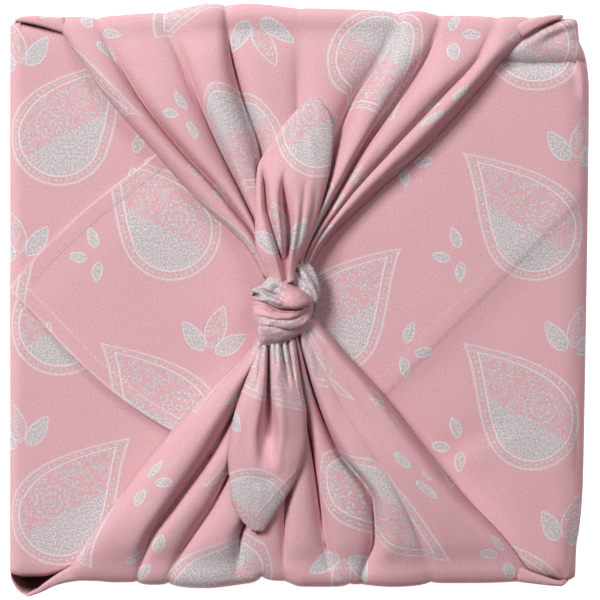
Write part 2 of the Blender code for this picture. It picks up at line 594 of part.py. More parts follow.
def build():
    for thing in list(bpy.data.objects):
        bpy.data.objects.remove(thing, do_unlink=True)
    parts = new_collection("furoshiki_wrap")
    guides = new_collection("joined_shapes")

    cloth = build_band(parts)
    joined = [
        build_corner("upper_left_corner", -1, 1, guides),
        build_corner("upper_right_corner", 1, 1, guides),
        build_corner("lower_left_corner", -1, -1, guides),
        build_corner("lower_right_corner", 1, -1, guides),
        build_turned_corner(guides),
        build_fan("upper_fan", UPPER_FAN, 1, guides),
        build_fan("lower_fan", LOWER_FAN, -1, guides),
        build_core(guides),
        build_strand("wrap_strand", WRAP_STRAND, (0.0, 1.0, 0.0), guides),
        build_strand("lower_strand", LOWER_STRAND, (1.0, 0.0, 0.0), guides),
        build_strand("upper_strand", UPPER_STRAND, (1.0, 0.0, 0.0), guides),
        build_tail("upper_tail", UPPER_TAIL, guides),
        build_tail("lower_tail", LOWER_TAIL, guides),
    ]
    for shape in joined:
        add_union(cloth, shape)
    for shape in guides.objects:
        shape.hide_render = True
        shape.display_type = "WIRE"
    cloth.data.materials.append(make_material("printed_pink_cotton", (0.78, 0.46, 0.50, 1.0), 0.85))

    box = build_box(parts)
    box.data.materials.append(make_material("plain_cardboard", (0.55, 0.42, 0.28, 1.0), 0.9))


build()
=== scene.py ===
"""Looks of a furoshiki wrap tied round a gift box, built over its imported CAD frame.

One thin cloth is laid over the folds of its CAD solid: a band with two hemmed corner flaps, four
corner folds, two gathered fans, a knot and two free ends. Lengths in the tables are millimetres
in the row frame: +X right, +Y to the shorter free end, +Z up.
"""

import math

import bmesh
import bpy
import numpy as np
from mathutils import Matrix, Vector, noise


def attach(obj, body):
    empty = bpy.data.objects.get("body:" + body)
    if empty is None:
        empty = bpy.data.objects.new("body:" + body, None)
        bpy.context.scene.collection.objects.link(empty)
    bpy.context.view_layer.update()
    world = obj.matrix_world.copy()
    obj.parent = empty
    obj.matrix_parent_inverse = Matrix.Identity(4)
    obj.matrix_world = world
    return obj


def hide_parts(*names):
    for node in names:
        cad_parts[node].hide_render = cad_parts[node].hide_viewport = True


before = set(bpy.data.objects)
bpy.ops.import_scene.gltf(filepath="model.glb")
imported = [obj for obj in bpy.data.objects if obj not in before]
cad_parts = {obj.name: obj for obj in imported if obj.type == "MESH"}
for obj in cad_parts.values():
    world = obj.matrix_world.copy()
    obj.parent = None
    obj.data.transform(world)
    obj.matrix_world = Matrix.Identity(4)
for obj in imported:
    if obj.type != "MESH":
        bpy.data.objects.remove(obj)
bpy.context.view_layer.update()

MM = 0.001
THICKNESS = 0.5         # drawn thickness of one layer

# -------- sizes shared with the solids
WRAP_LEFT = -146.0
WRAP_RIGHT = 145.5
CORNER_HALF_Y = 139.4
FAN_HALF_Y = 141.8
LEFT_FLAP_Z = 58.2
RIGHT_FLAP_Z = 60.5
FAN_Z = 62.8
LEFT_REACH, RIGHT_REACH = 7.0, 12.0     # the brims turn down over this much of X
LEFT_BRIM, RIGHT_BRIM = 7.0, 10.0       # and over this much of Z
FOOT_RADIUS, FLOOR_GAP = 4.0, 0.3
CORNER_RADIUS = 4.0
KNOT_X = -7.0

RIGHT_SIDE = (  # y, x
    (-141, 138.6), (-125, 139.2), (-115, 140.8), (-95, 142.4), (-50, 143.4),
    (50, 145), (107, 145.5), (114, 145), (123, 142.6), (130, 139.6), (141, 138.6),
)
RIGHT_FLAP = (  # x, lower y, upper y
    (-145.4, 3, 7), (-142, 1, 10.5), (-131.5, -9, 22), (-118.5, -23.5, 35),
    (-106, -35.5, 46), (-92.5, -47.5, 57), (-77.5, -58, 68), (-64, -66, 79.5),
    (-45, -77, 96), (-20, -95, 119), (0, -110, 132.5), (30, -131, 132.5),
    (75, -132.5, 132.5), (110, -135.2, 134), (133, -141.2, 138.8), (140, -141.4, 139),
)
LEFT_FLAP = (  # x, lower y, upper y
    (138, 52, 60), (120, 31, 84), (96, 5.5, 108), (71, -19, 132.5),
    (41, -49, 132.5), (5, -85, 132.5), (-42, -132.5, 132.5), (-90, -132.5, 132.5),
    (-112, -133.6, 133), (-119, -136.5, 133.4), (-131, -139.2, 136.5),
    (-140, -139.2, 139.4),
)
# Hemmed edges of the two flaps, as lines that the cloth's cut edge follows.
RIGHT_HEMS = (
    ((-145.4, 5), (-131.5, 22), (-106, 46), (-77.5, 68), (-45, 96), (0, 132.5)),
    ((-145.4, 5), (-131.5, -9), (-106, -35.5), (-77.5, -58), (-45, -77),
     (0, -110), (30, -131)),
)
LEFT_FLAP_EDGE = 91.0
LAYER_STEP = 1.5

FAN_STATIONS_Y = (120, 100, 75, 50, 25)
UPPER_FAN = (
    # foot    brim    x at the stations                   stand-out  height at brim and stations
    (-137.2, -121.5, (-110, -96, -74, -52, -26), 0, (0, 0, 0, 0, 0.3, 2)),
    (-129.5, -114, (-103, -88.5, -67.5, -45.5, -23), 0, (1.6, 3.6, 4.6, 5.2, 6.2, 9)),
    (-115.1, -101, (-92, -80.5, -60, -37, -19.5), 0, (0.6, 0.8, 0.8, 0.6, 1.4, 4)),
    (-97.8, -87, (-75, -67, -51.5, -32.5, -18), 0.9, (1, 2.6, 4, 5, 6.4, 9)),
    (-80.5, -67, (-59, -51.5, -40.5, -28, -16.5), 3, (0.5, 1.2, 2, 2, 3, 5.5)),
    (-61.2, -44.5, (-43.5, -41.5, -32, -24.5, -15), 6, (2.2, 4.2, 5, 6, 8, 11)),
    (-45.9, -37, (-34, -28.5, -20, -16, -12), 6.6, (0.3, 0.5, 0.5, 0.8, 2.4, 5.5)),
    (-28.5, -24, (-21, -18, -13, -9.5, -8.5), 6.6, (1.2, 2.6, 3.2, 4.2, 6.4, 10)),
    (-7.4, 0, (0, 0, -1, -3.5, -5), 4.8, (0.8, 1.8, 2, 3, 5, 8)),
    (15.7, 17.5, (15, 11, 5, 0, -2.5), 4, (1, 2.6, 3.6, 5, 7, 10.5)),
    (40.7, 50, (41, 27, 17, 11, 0.5), 2.8, (0.2, 0.6, 0.8, 1, 3, 6)),
    (56.1, 60, (51, 39.5, 27, 14, 2.5), 2.4, (1.6, 3.6, 4.6, 5.6, 7.4, 10.5)),
    (73.4, 70, (62.5, 49, 31.5, 17.5, 4), 1.4, (0.3, 0.8, 0.6, 0.5, 0.8, 3.5)),
    (90.8, 81, (77.5, 61, 39, 21, 5.2), 0.2, (1, 3.2, 4.6, 5, 5.6, 8)),
    (108.1, 98.5, (88.5, 70, 46.5, 24, 6.4), -0.2, (0.8, 2, 2.8, 3.4, 4, 6)),
    (121.5, 108.5, (96, 79, 55, 29, 8.4), -0.2, (2.2, 4.8, 5.8, 6.2, 7, 10)),
    (131.2, 117.5, (102, 85.5, 62.5, 35, 10.5), -0.2, (0, 0, 0, 0, 0.3, 2)),
)
LOWER_FAN = (
    (-137.2, -117, (-106, -91, -72, -49.5, -25), -0.4, (0, 0, 0, 0, 0.3, 2)),
    (-130.5, -109, (-99.5, -85.5, -67.5, -46.5, -23.2), -0.4, (1.6, 3.4, 4.2, 4.6, 6, 9)),
    (-122.8, -101, (-93.5, -79.5, -62.5, -42.5, -21.8), -0.4, (1.4, 3.2, 4.1, 4.7, 6, 8.6)),
    (-111.3, -91, (-82.5, -69.5, -53.5, -37, -20.2), 0, (1.4, 3.8, 5, 5.8, 7, 9.4)),
    (-95.9, -81, (-75, -61, -43, -29.5, -18.6), 1, (0.4, 0.6, 0.6, 0.6, 1.2, 4)),
    (-82.4, -74, (-66, -51.5, -36, -25, -17), 1.6, (1, 2.8, 3.6, 4.2, 5.6, 8.6)),
    (-68.9, -66, (-55, -42, -30, -21, -15.8), 2, (0.4, 0.8, 1.4, 2, 3.4, 6)),
    (-49.7, -47.5, (-39, -28.5, -22.5, -17, -14), 3.2, (1.6, 3.2, 4, 4.6, 6.2, 9.4)),
    (-34.3, -31, (-30, -22, -17, -14, -12), 2.4, (0.3, 0.8, 1, 1.6, 3.4, 6.4)),
    (-20.8, -19, (-17.5, -13.5, -11.5, -10, -9.6), -1.2, (1, 2.4, 3.4, 4.2, 6, 9.4)),
    (-9.3, -7.5, (-8, -7, -6, -6, -7), 0.6, (0.6, 1.2, 1.4, 1.8, 3.4, 6.4)),
    (0.3, 1, (0.5, 0.5, 0, -2, -4.5), 2.6, (1.4, 3, 3.8, 4.4, 6, 9.2)),
    (13.8, 16, (12, 9.5, 6, 1.5, -2), 3.4, (0.4, 0.8, 1.2, 1.4, 3, 6)),
    (24.4, 25, (24, 18.5, 11, 4.5, -0.5), 1.2, (1.6, 3.4, 4.2, 4.2, 5, 8)),
    (31.1, 30.5, (37, 36, 18.5, 8, 0.8), 2.4, (0.2, 0.4, 0.5, 0.5, 0.6, 3.2)),
    (44.6, 46, (48.5, 42.5, 25, 12, 3), 2.2, (1.8, 4, 5.2, 5.8, 6.6, 9.4)),
    (61.9, 66, (60, 51, 36, 20, 6.4), 0.6, (1.2, 2.9, 4.1, 4.9, 6, 8.5)),
    (81.1, 77.5, (73, 62.5, 46, 28, 11), 0.6, (1.2, 3.2, 4.3, 5, 6, 8.3)),
    (100.4, 94, (87.5, 73.5, 54, 36, 15.5), 0.6, (1, 2.8, 3.9, 4.7, 5.8, 7.8)),
    (119.6, 107.5, (96.5, 78, 58.5, 39.5, 18.6), 0.2, (1.4, 3.2, 4.2, 4.8, 5.8, 7.6)),
    (131.2, 115, (102.5, 83.5, 63, 43.5, 21), 0, (0, 0, 0, 0, 0.3, 1.4)),
)

UPPER_TAIL = (  # y, left x, right x, rim z, crown
    (8, -13.5, -3, 77, 3.6), (14, -16.5, -2.5, 77, 4.6), (21, -20, 0.5, 76.2, 7.4),
    (30, -22, 4.6, 75.2, 9.6), (42, -22, 9, 74, 10.2), (54, -21.8, 12.4, 73.4, 9.4),
    (64, -21, 14.8, 72.8, 7.6), (72, -17.6, 15.8, 72.4, 5.8), (80, -12.4, 16.2, 72, 4.6),
    (88, -6.4, 15.4, 71.6, 3.6), (94, -1, 13, 71.2, 2.6), (99, 3.4, 9, 70.8, 1),
)
LOWER_TAIL = (
    (-20, -18.6, -2.6, 73.4, 4.6), (-27, -21.5, -1.6, 73.6, 6.8), (-36, -25, -0.2, 73.4, 8.6),
    (-46, -28.8, 1.4, 73.2, 9.2), (-57, -32.4, 3.2, 72.8, 8.8), (-68, -34.6, 3.4, 72.6, 7.6),
    (-79, -35.4, 1.6, 72.2, 6.8), (-90, -34.6, -2.6, 71.8, 5.6), (-100, -33.4, -8.4, 71.4, 4.4),
    (-108, -29.4, -14, 71, 3), (-115, -23.4, -19, 70.6, 1),
)
# Creases: points (x, y, depth), half width, kind. A negative depth is a ridge.
UPPER_TAIL_CREASES = (
    (((-19.4, 67, 0), (-17.6, 58, 6), (-16.4, 44, 9.5), (-12.9, 31.9, 10), (-9.5, 21, 8.4),
      (-7.4, 9, 5.4)), (0.8, 1.3, 1.9, 1.7, 1.2, 1), 2),
    (((-7.9, 62, 0), (-8.2, 54, 5), (-7.3, 46, 9), (-6.5, 39.7, 10), (-6.2, 30, 10),
      (-6.6, 22, 8), (-7.2, 9, 4.6)), (1, 1.6, 2.3, 2.6, 2.3, 1.5, 1), 3),
    (((-4.8, 55, 0), (-3.6, 47, 2), (-3.4, 38, 3), (-4.8, 28, 3), (-6.6, 11, 2)), 0.8, 1),
    (((2.4, 60, 0), (1.8, 48, 1.3), (-0.4, 32, 1.6), (-3.6, 18, 0.8)), 1.6, 2),
    (((8, 58, 0), (6.8, 44, 1.3), (3.4, 30, 1.4), (-1, 18, 0.8)), 1.5, 2),
    (((-12.6, 62, 0), (-12.6, 50, -1.2), (-10.6, 38, -1.6), (-8.6, 26, -1.2)), 2.2, 2),
    (((-1.4, 50, 0), (-1.2, 40, -1.2), (-2.8, 28, -1.2), (-5, 16, -0.6)), 1.4, 2),
    (((2, 84, 0), (6, 76, -0.9), (10, 66, 0)), 1.8, 2),
    (((-13, 66, 0), (-10, 74, 0.8), (-3, 84, 0)), 2.4, 2),
)
LOWER_TAIL_CREASES = (
    (((-15.4, -20, 7), (-15.4, -36, 9), (-15.5, -46, 9.4), (-15.5, -54, 9.4),
      (-15.6, -62, 9.2), (-15.7, -67, 8.4), (-15.9, -75, 4.4), (-16, -84, 0)),
     (1.1, 1.2, 1.7, 2.8, 4.1, 4.7, 4.4, 4), 3),
    (((-19, -20, 4.6), (-19.6, -34, 3), (-22, -48, 0)), 1, 2),
    (((-9.6, -20, 5.4), (-7.8, -31, 4.4), (-4.6, -44, 0)), 1, 2),
    (((-6.4, -20, 4.4), (-4.4, -31, 3.4), (-2, -42, 0)), 0.9, 2),
    (((-12.4, -20, 3.4), (-11.8, -27, 2), (-11, -36, 0)), 0.8, 2),
    (((-12, -24, -1), (-11, -36, -1.2), (-8.8, -50, -1.2), (-8.6, -66, -0.9),
      (-12, -82, 0)), 2, 2),
    (((-18.6, -26, -0.8), (-20.4, -44, -1), (-23.6, -60, 0)), 1.6, 2),
    (((-26, -52, 0), (-27, -64, 0.8), (-25, -78, 0)), 2.6, 2),
    (((-30, -84, 0), (-22, -90, 0.9), (-12, -88, 0.6), (-3, -80, 0)), 2.6, 2),
)
LOWER_TAIL_SEAMS = (((-14.5, -44), (-0.5, -44.5)), ((-1.5, -83.5), (-21.5, -106.5)))


# -------- curves and grids
def smooth_step(value):
    """A soft step from 0 to 1 over values from 0 to 1."""
    value = np.clip(value, 0.0, 1.0)
    return value * value * (3.0 - 2.0 * value)


def knot_slope(before, after):
    """Slope at a knot from the slopes beside it: their harmonic mean, or 0 at a peak or valley."""
    same = before * after > 0.0
    total = np.where(same, before + after, 1.0)
    return np.where(same, 2.0 * before * after / total, 0.0)


def tangents(knots, values):
    """Slopes of a monotone cubic through rows of values."""
    slope = np.diff(values, axis=0) / np.diff(knots)[:, None]
    return np.concatenate((slope[:1], knot_slope(slope[:-1], slope[1:]), slope[-1:]))


def read_curve(knots, values, at):
    """Monotone cubic reading of rows of values, one row for each knot, without overshoot."""
    knots = np.asarray(knots, float)
    values = np.asarray(values, float)
    shape = values.shape[1:]
    values = values.reshape(len(knots), -1)
    slope = tangents(knots, values)
    at = np.clip(np.asarray(at, float), knots[0], knots[-1])
    index = np.clip(np.searchsorted(knots, at, side="right") - 1, 0, len(knots) - 2)
    width = (knots[index + 1] - knots[index])[:, None]
    share = (at - knots[index])[:, None] / width
    left = (1.0 + 2.0 * share) * (1.0 - share) ** 2 * values[index]
    left += share * (1.0 - share) ** 2 * width * slope[index]
    right = share ** 2 * (3.0 - 2.0 * share) * values[index + 1]
    right -= share ** 2 * (1.0 - share) * width * slope[index + 1]
    return (left + right).reshape((len(at),) + shape)


def even_rows(table, count):
    """A table read at this many even steps from its first row to its last."""
    rows = np.array(table, float)
    return read_curve(np.arange(len(rows)), rows, np.linspace(0.0, len(rows) - 1.0, count))


def running(steps):
    """Places along a line, from the lengths of its steps."""
    return np.concatenate(([0.0], np.cumsum(steps)))


def read_table(table, at, column):
    """One column of a table at places in its first column."""
    rows = np.array(sorted(table), float)
    return read_curve(rows[:, 0], rows[:, column:column + 1], np.atleast_1d(at))[:, 0]


def line_distance(x, y, points):
    """Distance to a line of points, and the length along it, for arrays of places."""
    best = np.full(x.shape, 1e9)
    along = np.zeros(x.shape)
    travelled = 0.0
    for start, end in zip(points, points[1:]):
        dx, dy = end[0] - start[0], end[1] - start[1]
        length = math.hypot(dx, dy)
        share = np.clip(((x - start[0]) * dx + (y - start[1]) * dy) / length ** 2, 0.0, 1.0)
        gap = np.hypot(x - start[0] - share * dx, y - start[1] - share * dy)
        closer = gap < best
        best = np.where(closer, gap, best)
        along = np.where(closer, travelled + share * length, along)
        travelled += length
    return best, along


def crease_depth(x, y, creases):
    """Depth of grooves along lines of points (x, y, depth): kind 1 is a sharp crease, 2 is soft.

    The half width is one number, or one for each point.
    """
    depth = np.zeros(x.shape)
    for points, width, kind in creases:
        gap, along = line_distance(x, y, points)
        steps = [math.hypot(b[0] - a[0], b[1] - a[1]) for a, b in zip(points, points[1:])]
        here = np.interp(along, running(steps), [point[2] for point in points])
        half = np.interp(along, running(steps), np.broadcast_to(width, len(points)))
        depth += here * np.exp(-(gap / half) ** kind)
    return depth


def grain(x, y, size, seed):
    """Smooth noise from -1 to 1 over arrays of places."""
    flat = [noise.noise(Vector((a / size, b / size, seed))) for a, b in zip(x.ravel(), y.ravel())]
    return np.array(flat).reshape(x.shape)


NO_HEM = 60.0
sheets = []


def add_sheet(points, print_u, print_v, first_hem=NO_HEM, second_hem=NO_HEM, under=NO_HEM,
              closed=False):
    """Keep a grid of points, rows x columns x 3, with its places on the flat printed cloth."""
    points = np.asarray(points, float)
    shape = points.shape[:2]
    layers = (print_u, print_v, first_hem, second_hem, under, under)
    layers = [np.broadcast_to(np.asarray(layer, float), shape) for layer in layers]
    sheets.append((points, np.stack(layers, axis=-1), closed))


def path_length(points):
    """Length along axis 0 of a grid, from its first row."""
    steps = np.linalg.norm(np.diff(points, axis=0), axis=-1)
    return np.concatenate((np.zeros((1,) + steps.shape[1:]), np.cumsum(steps, axis=0)))


# -------- band and flaps
HEM_WIDTH = 7.0
HEM_RISE = 0.35
EDGE_LIFT = 0.75        # height of the right flap's edges over the left flap
LOWER_HEM_LIFT, LOWER_HEM_CURL = 2.9, 9.0       # its lower hem stands off more, over this width
BRIM_HALF_Y = 132.5
OVER_BRIM, OVER_BRIM_REACH = 2.2, 7.0   # fall beyond the upper and lower brim over this much of Y
SIDE_HALF_Y = 131.0
SIDE_FLARE = (1.045, 1.060)             # width of the sides at the top of the wall, at the brim
BAND_COLUMNS = 81
LEFT_ROWS, RIGHT_ROWS = 28, 90
EDGE_CROWDING = 0.3     # how much closer columns stand at the flaps' edges than in the middle
FLAP_WAVES = (  # troughs in the flaps: points (x, y, depth), half width, kind
    (((77, -76, 1.2), (92, -68, 0.8), (112, -60, 0)), 7, 2),
    (((20, -26, 0.8), (38, -43, 2.4), (62, -69, 3.6), (80, -90, 3.2), (100, -111, 1)), 7, 2),
    (((86, -78, -0.8), (106, -72, -0.4), (120, -68, 0)), 6, 2),
    (((98, 117, 2.4), (120, 116.6, 3.6), (134, 117.2, 2.8), (141, 118, 0)), 3.4, 2),
    (((141, 116, 1.6), (139, 108, 1), (136, 96, 0)), 4, 2),
    (((-104, 104, 0.6), (-118, 112, 0.5), (-130, 118, 0)), 9, 2),
    (((-144, 141, 3.6), (-138, 138.8, 3.4), (-128, 135.8, 2), (-119.5, 133, 1)), 1.4, 1),
    (((110, -134.4, 1.2), (118, -137.4, 3), (127, -139.9, 4.4), (135, -141.2, 4.4)), 1.8, 1),
)


def right_side_x(y):
    """The wrap's outline at its right side."""
    return read_table(RIGHT_SIDE, np.ravel(y), 1).reshape(np.shape(y))


def pulled(x, y):
    """Follow the outline of the right side, which is pulled in at its corners."""
    return x - (WRAP_RIGHT - right_side_x(y)) * smooth_step((x - 90.0) / 50.0)


def under_edge(x, y):
    """Distance beyond the edge of the left flap that lies under the right one."""
    return (x - y - LEFT_FLAP_EDGE) / math.sqrt(2.0)


def under_step(x, y):
    """Drop of the right flap beyond the edge of the left flap."""
    edge = under_edge(x, y)
    near, far = smooth_step((edge + 1.5) / 5.0), smooth_step((edge - 1.0) / 11.0)
    return LAYER_STEP * (0.6 * near + 0.4 * far) * smooth_step((x - 8.0) / 40.0)


def quarter_round(share):
    """Fall of a quarter circle of radius 1 at shares of its reach."""
    return 1.0 - np.sqrt(1.0 - np.clip(share, 0.0, 1.0) ** 2)


def brim_drop(x):
    """How far a flap has turned down over the left or right brim."""
    left = LEFT_BRIM * quarter_round((WRAP_LEFT + LEFT_REACH - x) / LEFT_REACH)
    return left + RIGHT_BRIM * quarter_round((x - WRAP_RIGHT + RIGHT_REACH) / RIGHT_REACH)


def over_brim_drop(y):
    """How far a flap turns down over the upper or lower brim."""
    return OVER_BRIM * (np.maximum(np.abs(y) - BRIM_HALF_Y, 0.0) / OVER_BRIM_REACH) ** 2


def flap_surface(x, y, upper):
    """Height of a flap, its brims turned down, with hem, waves and the layer below showing."""
    waves = crease_depth(x, y, FLAP_WAVES)
    ripple = 0.45 * grain(x, y, 46.0, 3.0) + 0.18 * grain(x, y, 17.0, 8.0)
    if not upper:
        return LEFT_FLAP_Z - brim_drop(x) - over_brim_drop(y) - waves + 0.5 * ripple
    gap_high, gap_low = (line_distance(x, y, hem)[0] for hem in RIGHT_HEMS)
    inside = smooth_step(np.minimum(gap_high, 1.6 * gap_low) / 26.0)
    lift = EDGE_LIFT + (RIGHT_FLAP_Z - LEFT_FLAP_Z - EDGE_LIFT) * inside
    hem_gap = np.minimum(gap_high, gap_low)
    lift += HEM_RISE * (1.0 - smooth_step((hem_gap - HEM_WIDTH + 1.5) / 3.0))
    curl = np.exp(-(gap_low / LOWER_HEM_CURL) ** 2)
    lift += LOWER_HEM_LIFT * curl * smooth_step((x + 145.0) / 38.0)
    base = LEFT_FLAP_Z - brim_drop(x) - over_brim_drop(y) - waves
    return base + lift - under_step(x, y) + ripple * inside


def band_columns():
    """Shares across the band, from 0 to 1."""
    share = np.linspace(0.0, 1.0, BAND_COLUMNS)
    return share - EDGE_CROWDING * np.sin(2.0 * math.pi * share) / (2.0 * math.pi)


def flap_grid(table, upper):
    """Rows of a flap from its tip to its brim, closer together at the end that shows."""
    rows = np.array(sorted(table), float)
    tip, brim = (rows[0, 0], rows[-1, 0]) if upper else (rows[-1, 0], rows[0, 0])
    x = tip + (brim - tip) * (np.linspace(0.0, 1.0, RIGHT_ROWS) ** 1.2 if upper
                              else 1.0 - np.linspace(1.0, 0.0, LEFT_ROWS) ** 1.8)
    low, high = read_table(table, x, 1), read_table(table, x, 2)
    y = low[:, None] + (high - low)[:, None] * band_columns()
    x = np.broadcast_to(x[:, None], y.shape)
    return np.dstack((pulled(x, y), y, flap_surface(x, y, upper)))


def arc(centre, radius, start, end, steps):
    """Points on an arc, its angles in degrees."""
    angle = np.radians(np.linspace(start, end, steps))
    return centre[0] + radius * np.cos(angle), centre[1] + radius * np.sin(angle)


def side_grid():
    """The left side, the floor and the right side, as one run of rows."""
    share = 2.0 * band_columns() - 1.0
    rows = []

    def add_rows(xs, zs, spreads=1.0, sunk=0.0, droop=0.0):
        for x, z, spread, sink, drop in np.broadcast(xs, zs, spreads, sunk, droop):
            y = SIDE_HALF_Y * spread * share
            if x > 0.0:
                y = y * np.where(share < 0.0, 1.0 + 0.35 * (spread - 1.0), 1.0)
            flat_x = np.full(y.shape, x)
            fall = sink * under_step(flat_x, y) + drop * over_brim_drop(y)
            rows.append(np.dstack((pulled(flat_x, y), y, z - fall))[0])

    def foot(side, edge, start):
        centre = (edge - side * FOOT_RADIUS, FOOT_RADIUS + FLOOR_GAP)
        return arc(centre, FOOT_RADIUS, start, start + 90, 4)

    up = np.linspace(0.0, 1.0, 7)
    wall = np.linspace(47.0, 8.0, 5)
    spread = np.interp(wall, (38.0, 47.0), (1.0, 1.04))
    lean = np.radians(np.linspace(12.0, 90.0, 7))
    add_rows(WRAP_LEFT + LEFT_REACH * (1.0 - np.sin(lean)),
             LEFT_FLAP_Z - LEFT_BRIM * (1.0 - np.cos(lean)),
             np.interp(up, (0, 1), SIDE_FLARE[::-1]), 0.0, up[::-1])
    add_rows(WRAP_LEFT, wall, spread)
    add_rows(*foot(-1, WRAP_LEFT, 180))
    add_rows(np.linspace(-125.0, 125.0, 5), FLOOR_GAP)
    add_rows(*foot(1, WRAP_RIGHT, 270))
    add_rows(WRAP_RIGHT, wall[::-1], spread[::-1])
    lean = np.radians(np.linspace(90.0, 34.0, 7))
    add_rows(WRAP_RIGHT - RIGHT_REACH * (1.0 - np.sin(lean)),
             RIGHT_FLAP_Z - RIGHT_BRIM * (1.0 - np.cos(lean)),
             np.interp(up, (0, 1), SIDE_FLARE), up, up)
    return np.array(rows)


def build_band():
    """The two flaps, the sides and the floor, printed on from one end to the other."""
    left = flap_grid(LEFT_FLAP, False)
    right = flap_grid(RIGHT_FLAP, True)[::-1]
    sides = side_grid()
    points = np.concatenate((left, sides, right))
    middle = path_length(points[:, BAND_COLUMNS // 2:BAND_COLUMNS // 2 + 1])
    centre_row = len(left) + len(sides) // 2
    along = middle - middle[centre_row]
    x, y = points[-RIGHT_ROWS:, :, 0], points[-RIGHT_ROWS:, :, 1]
    layers = np.full((3,) + points.shape[:2], NO_HEM)
    for layer, hem in zip(layers, RIGHT_HEMS):
        layer[-RIGHT_ROWS:] = line_distance(x, y, hem)[0]
    layers[2, -RIGHT_ROWS:] = under_edge(x, y)
    add_sheet(points, along, points[..., 1], *layers)


def top_height(x, y):
    """Height of the uppermost flap at places on top."""
    low, high = read_table(RIGHT_FLAP, x.ravel(), 1), read_table(RIGHT_FLAP, x.ravel(), 2)
    inside = (y.ravel() > low) & (y.ravel() < high)
    upper = flap_surface(x, y, True).ravel()
    return np.where(inside, upper, LEFT_FLAP_Z).reshape(x.shape)


# -------- corner folds
CORNER_INSET, CORNER_START_Y = 0.4, (116.0, 124.0)
EAR_X, EAR_WIDTH, EAR_REACH = -136.0, 8.1, 9.5
EAR_TOPS = (50.5, 51, 52.5, 54.5, 56, 57.2, 58, 58.4, 57, 56)


def corner_plan(x_side, y_side, inset, z):
    """One row of a corner fold, from the short side round the upright edge to the long side."""
    radius = max(CORNER_RADIUS - inset, 0.8)
    half_y = CORNER_HALF_Y - inset

    def edge_x(y):
        if x_side < 0:
            return WRAP_LEFT + CORNER_INSET + inset
        return float(right_side_x(y_side * y)) - CORNER_INSET - inset

    edge = edge_x(CORNER_HALF_Y - CORNER_RADIUS)
    plan = [(edge_x(y), y_side * y) for y in CORNER_START_Y]
    centre = (edge - x_side * radius, half_y - radius)
    for angle in np.radians(np.linspace(0.0, 90.0, 5)):
        x, y = centre[0] + x_side * radius * math.cos(angle), centre[1] + radius * math.sin(angle)
        plan.append((x, y_side * y))
    end = edge - x_side * (26.0 + 0.9 * z)
    for share in (0.26, 0.5, 1.0):
        plan.append((centre[0] + (end - centre[0]) * share, y_side * half_y))
    return np.array(plan)


def build_corner(x_side, y_side):
    """A corner fold: its top lies under the flap's edge, or stands open as the ear."""
    ear = x_side < 0 and y_side < 0
    insets = [(8.0, 0.7), (3.6, 0.7), (2.2, 1.2), (1.0, 2.4), (0.3, 4.0), (0.0, 8.0)]
    insets += [(0.0, z) for z in np.linspace(14.0, 57.0, 8)]
    fine = np.linspace(0.0, 9.0, 46 if ear else 28)
    rows = []
    for inset, z in insets:
        plan = read_curve(np.arange(10), corner_plan(x_side, y_side, inset, z), fine)
        level = (LEFT_FLAP_Z if x_side < 0 else RIGHT_FLAP_Z - LAYER_STEP) - 0.9
        away = np.abs(plan[:, 0] - plan[0, 0])
        unpulled = plan[:, 0] + (WRAP_RIGHT - right_side_x(plan[:, 1])) * (x_side > 0)
        dip = 2.6 * smooth_step((away - 3.0) / 5.0)
        top = level - brim_drop(unpulled) - over_brim_drop(plan[:, 1]) - dip
        if ear:
            top = read_curve(np.arange(10), np.array(EAR_TOPS)[:, None], fine)[:, 0]
        height = z * top / 57.0 if z > FOOT_RADIUS else np.full(top.shape, z)
        if ear:
            bulge = np.exp(-((plan[:, 0] - EAR_X) / EAR_WIDTH) ** 2)
            plan[:, 1] -= EAR_REACH * bulge * smooth_step((z - 8.0) / 28.0)
        rows.append(np.column_stack((plan, height)))
    points = np.array(rows)
    across = path_length(points[-1][:, None])[:, 0]
    add_sheet(points, x_side * (70.0 + across), y_side * (177.0 + points[..., 2]))


LIPS = (  # slit x, slit y, outer x, outer y, top z: rolled upper edges of the corner folds
    ((-143, 139.6, -143.4, 140.2, 53.6), (-139, 139, -139.6, 141.4, 58.2),
     (-133, 137.7, -132.5, 141.8, 59.8), (-126, 135.8, -126, 141.2, 60.6),
     (-116, 132.6, -118, 140.6, 61)),
    ((110.5, 130.6, 107, 136.5, 63.4), (117, 134.6, 114.5, 139.4, 64),
     (124, 138, 122, 141.2, 63.6), (131.4, 140.8, 130.6, 142, 60.6)),
    ((-137.6, -148.4, -136.4, -149.4, 55.6), (-131.4, -145.2, -129.4, -146.8, 58.2),
     (-126.5, -141.4, -124, -144, 59.8), (-120.5, -137.4, -117, -141.8, 60.6),
     (-112, -132.6, -107, -140.4, 61)),
    ((107, -133, 109, -141.4, 61.2), (114, -136, 116, -142.2, 61),
     (122, -138.9, 124, -143.2, 60.2), (130, -141.4, 131, -143.8, 58),
     (134.6, -141.4, 135.2, -141.9, 52)),
)
LIP_LIFT = 1.0
LIP_ROWS, LIP_COLUMNS = 17, 20
LIP_PROFILE = (  # share of the way from outer line to slit, height over the lip's top
    (0.75, -9), (0.35, -7.4), (0, -3.8), (0.10, -1), (0.42, 0.1), (0.80, 0.1), (1, -0.7),
    (1.04, -1.8), (0.94, -3.2), (0.70, -4.4),
)


def build_lip(rows):
    """The rolled upper edge of a corner fold, along its slit."""
    across = even_rows(LIP_PROFILE, LIP_COLUMNS)
    fine = even_rows(rows, LIP_ROWS)
    slit, outer, top = fine[:, None, 0:2], fine[:, None, 2:4], fine[:, 4] + LIP_LIFT
    flat = outer + (slit - outer) * across[None, :, 0:1]
    z = top[:, None] + across[None, :, 1]
    along = path_length(fine[:, :3][:, None])
    add_sheet(np.dstack((flat, z)), 6.0 * across[None, :, 0] - 94.0, 5.0 + 0.8 * along)


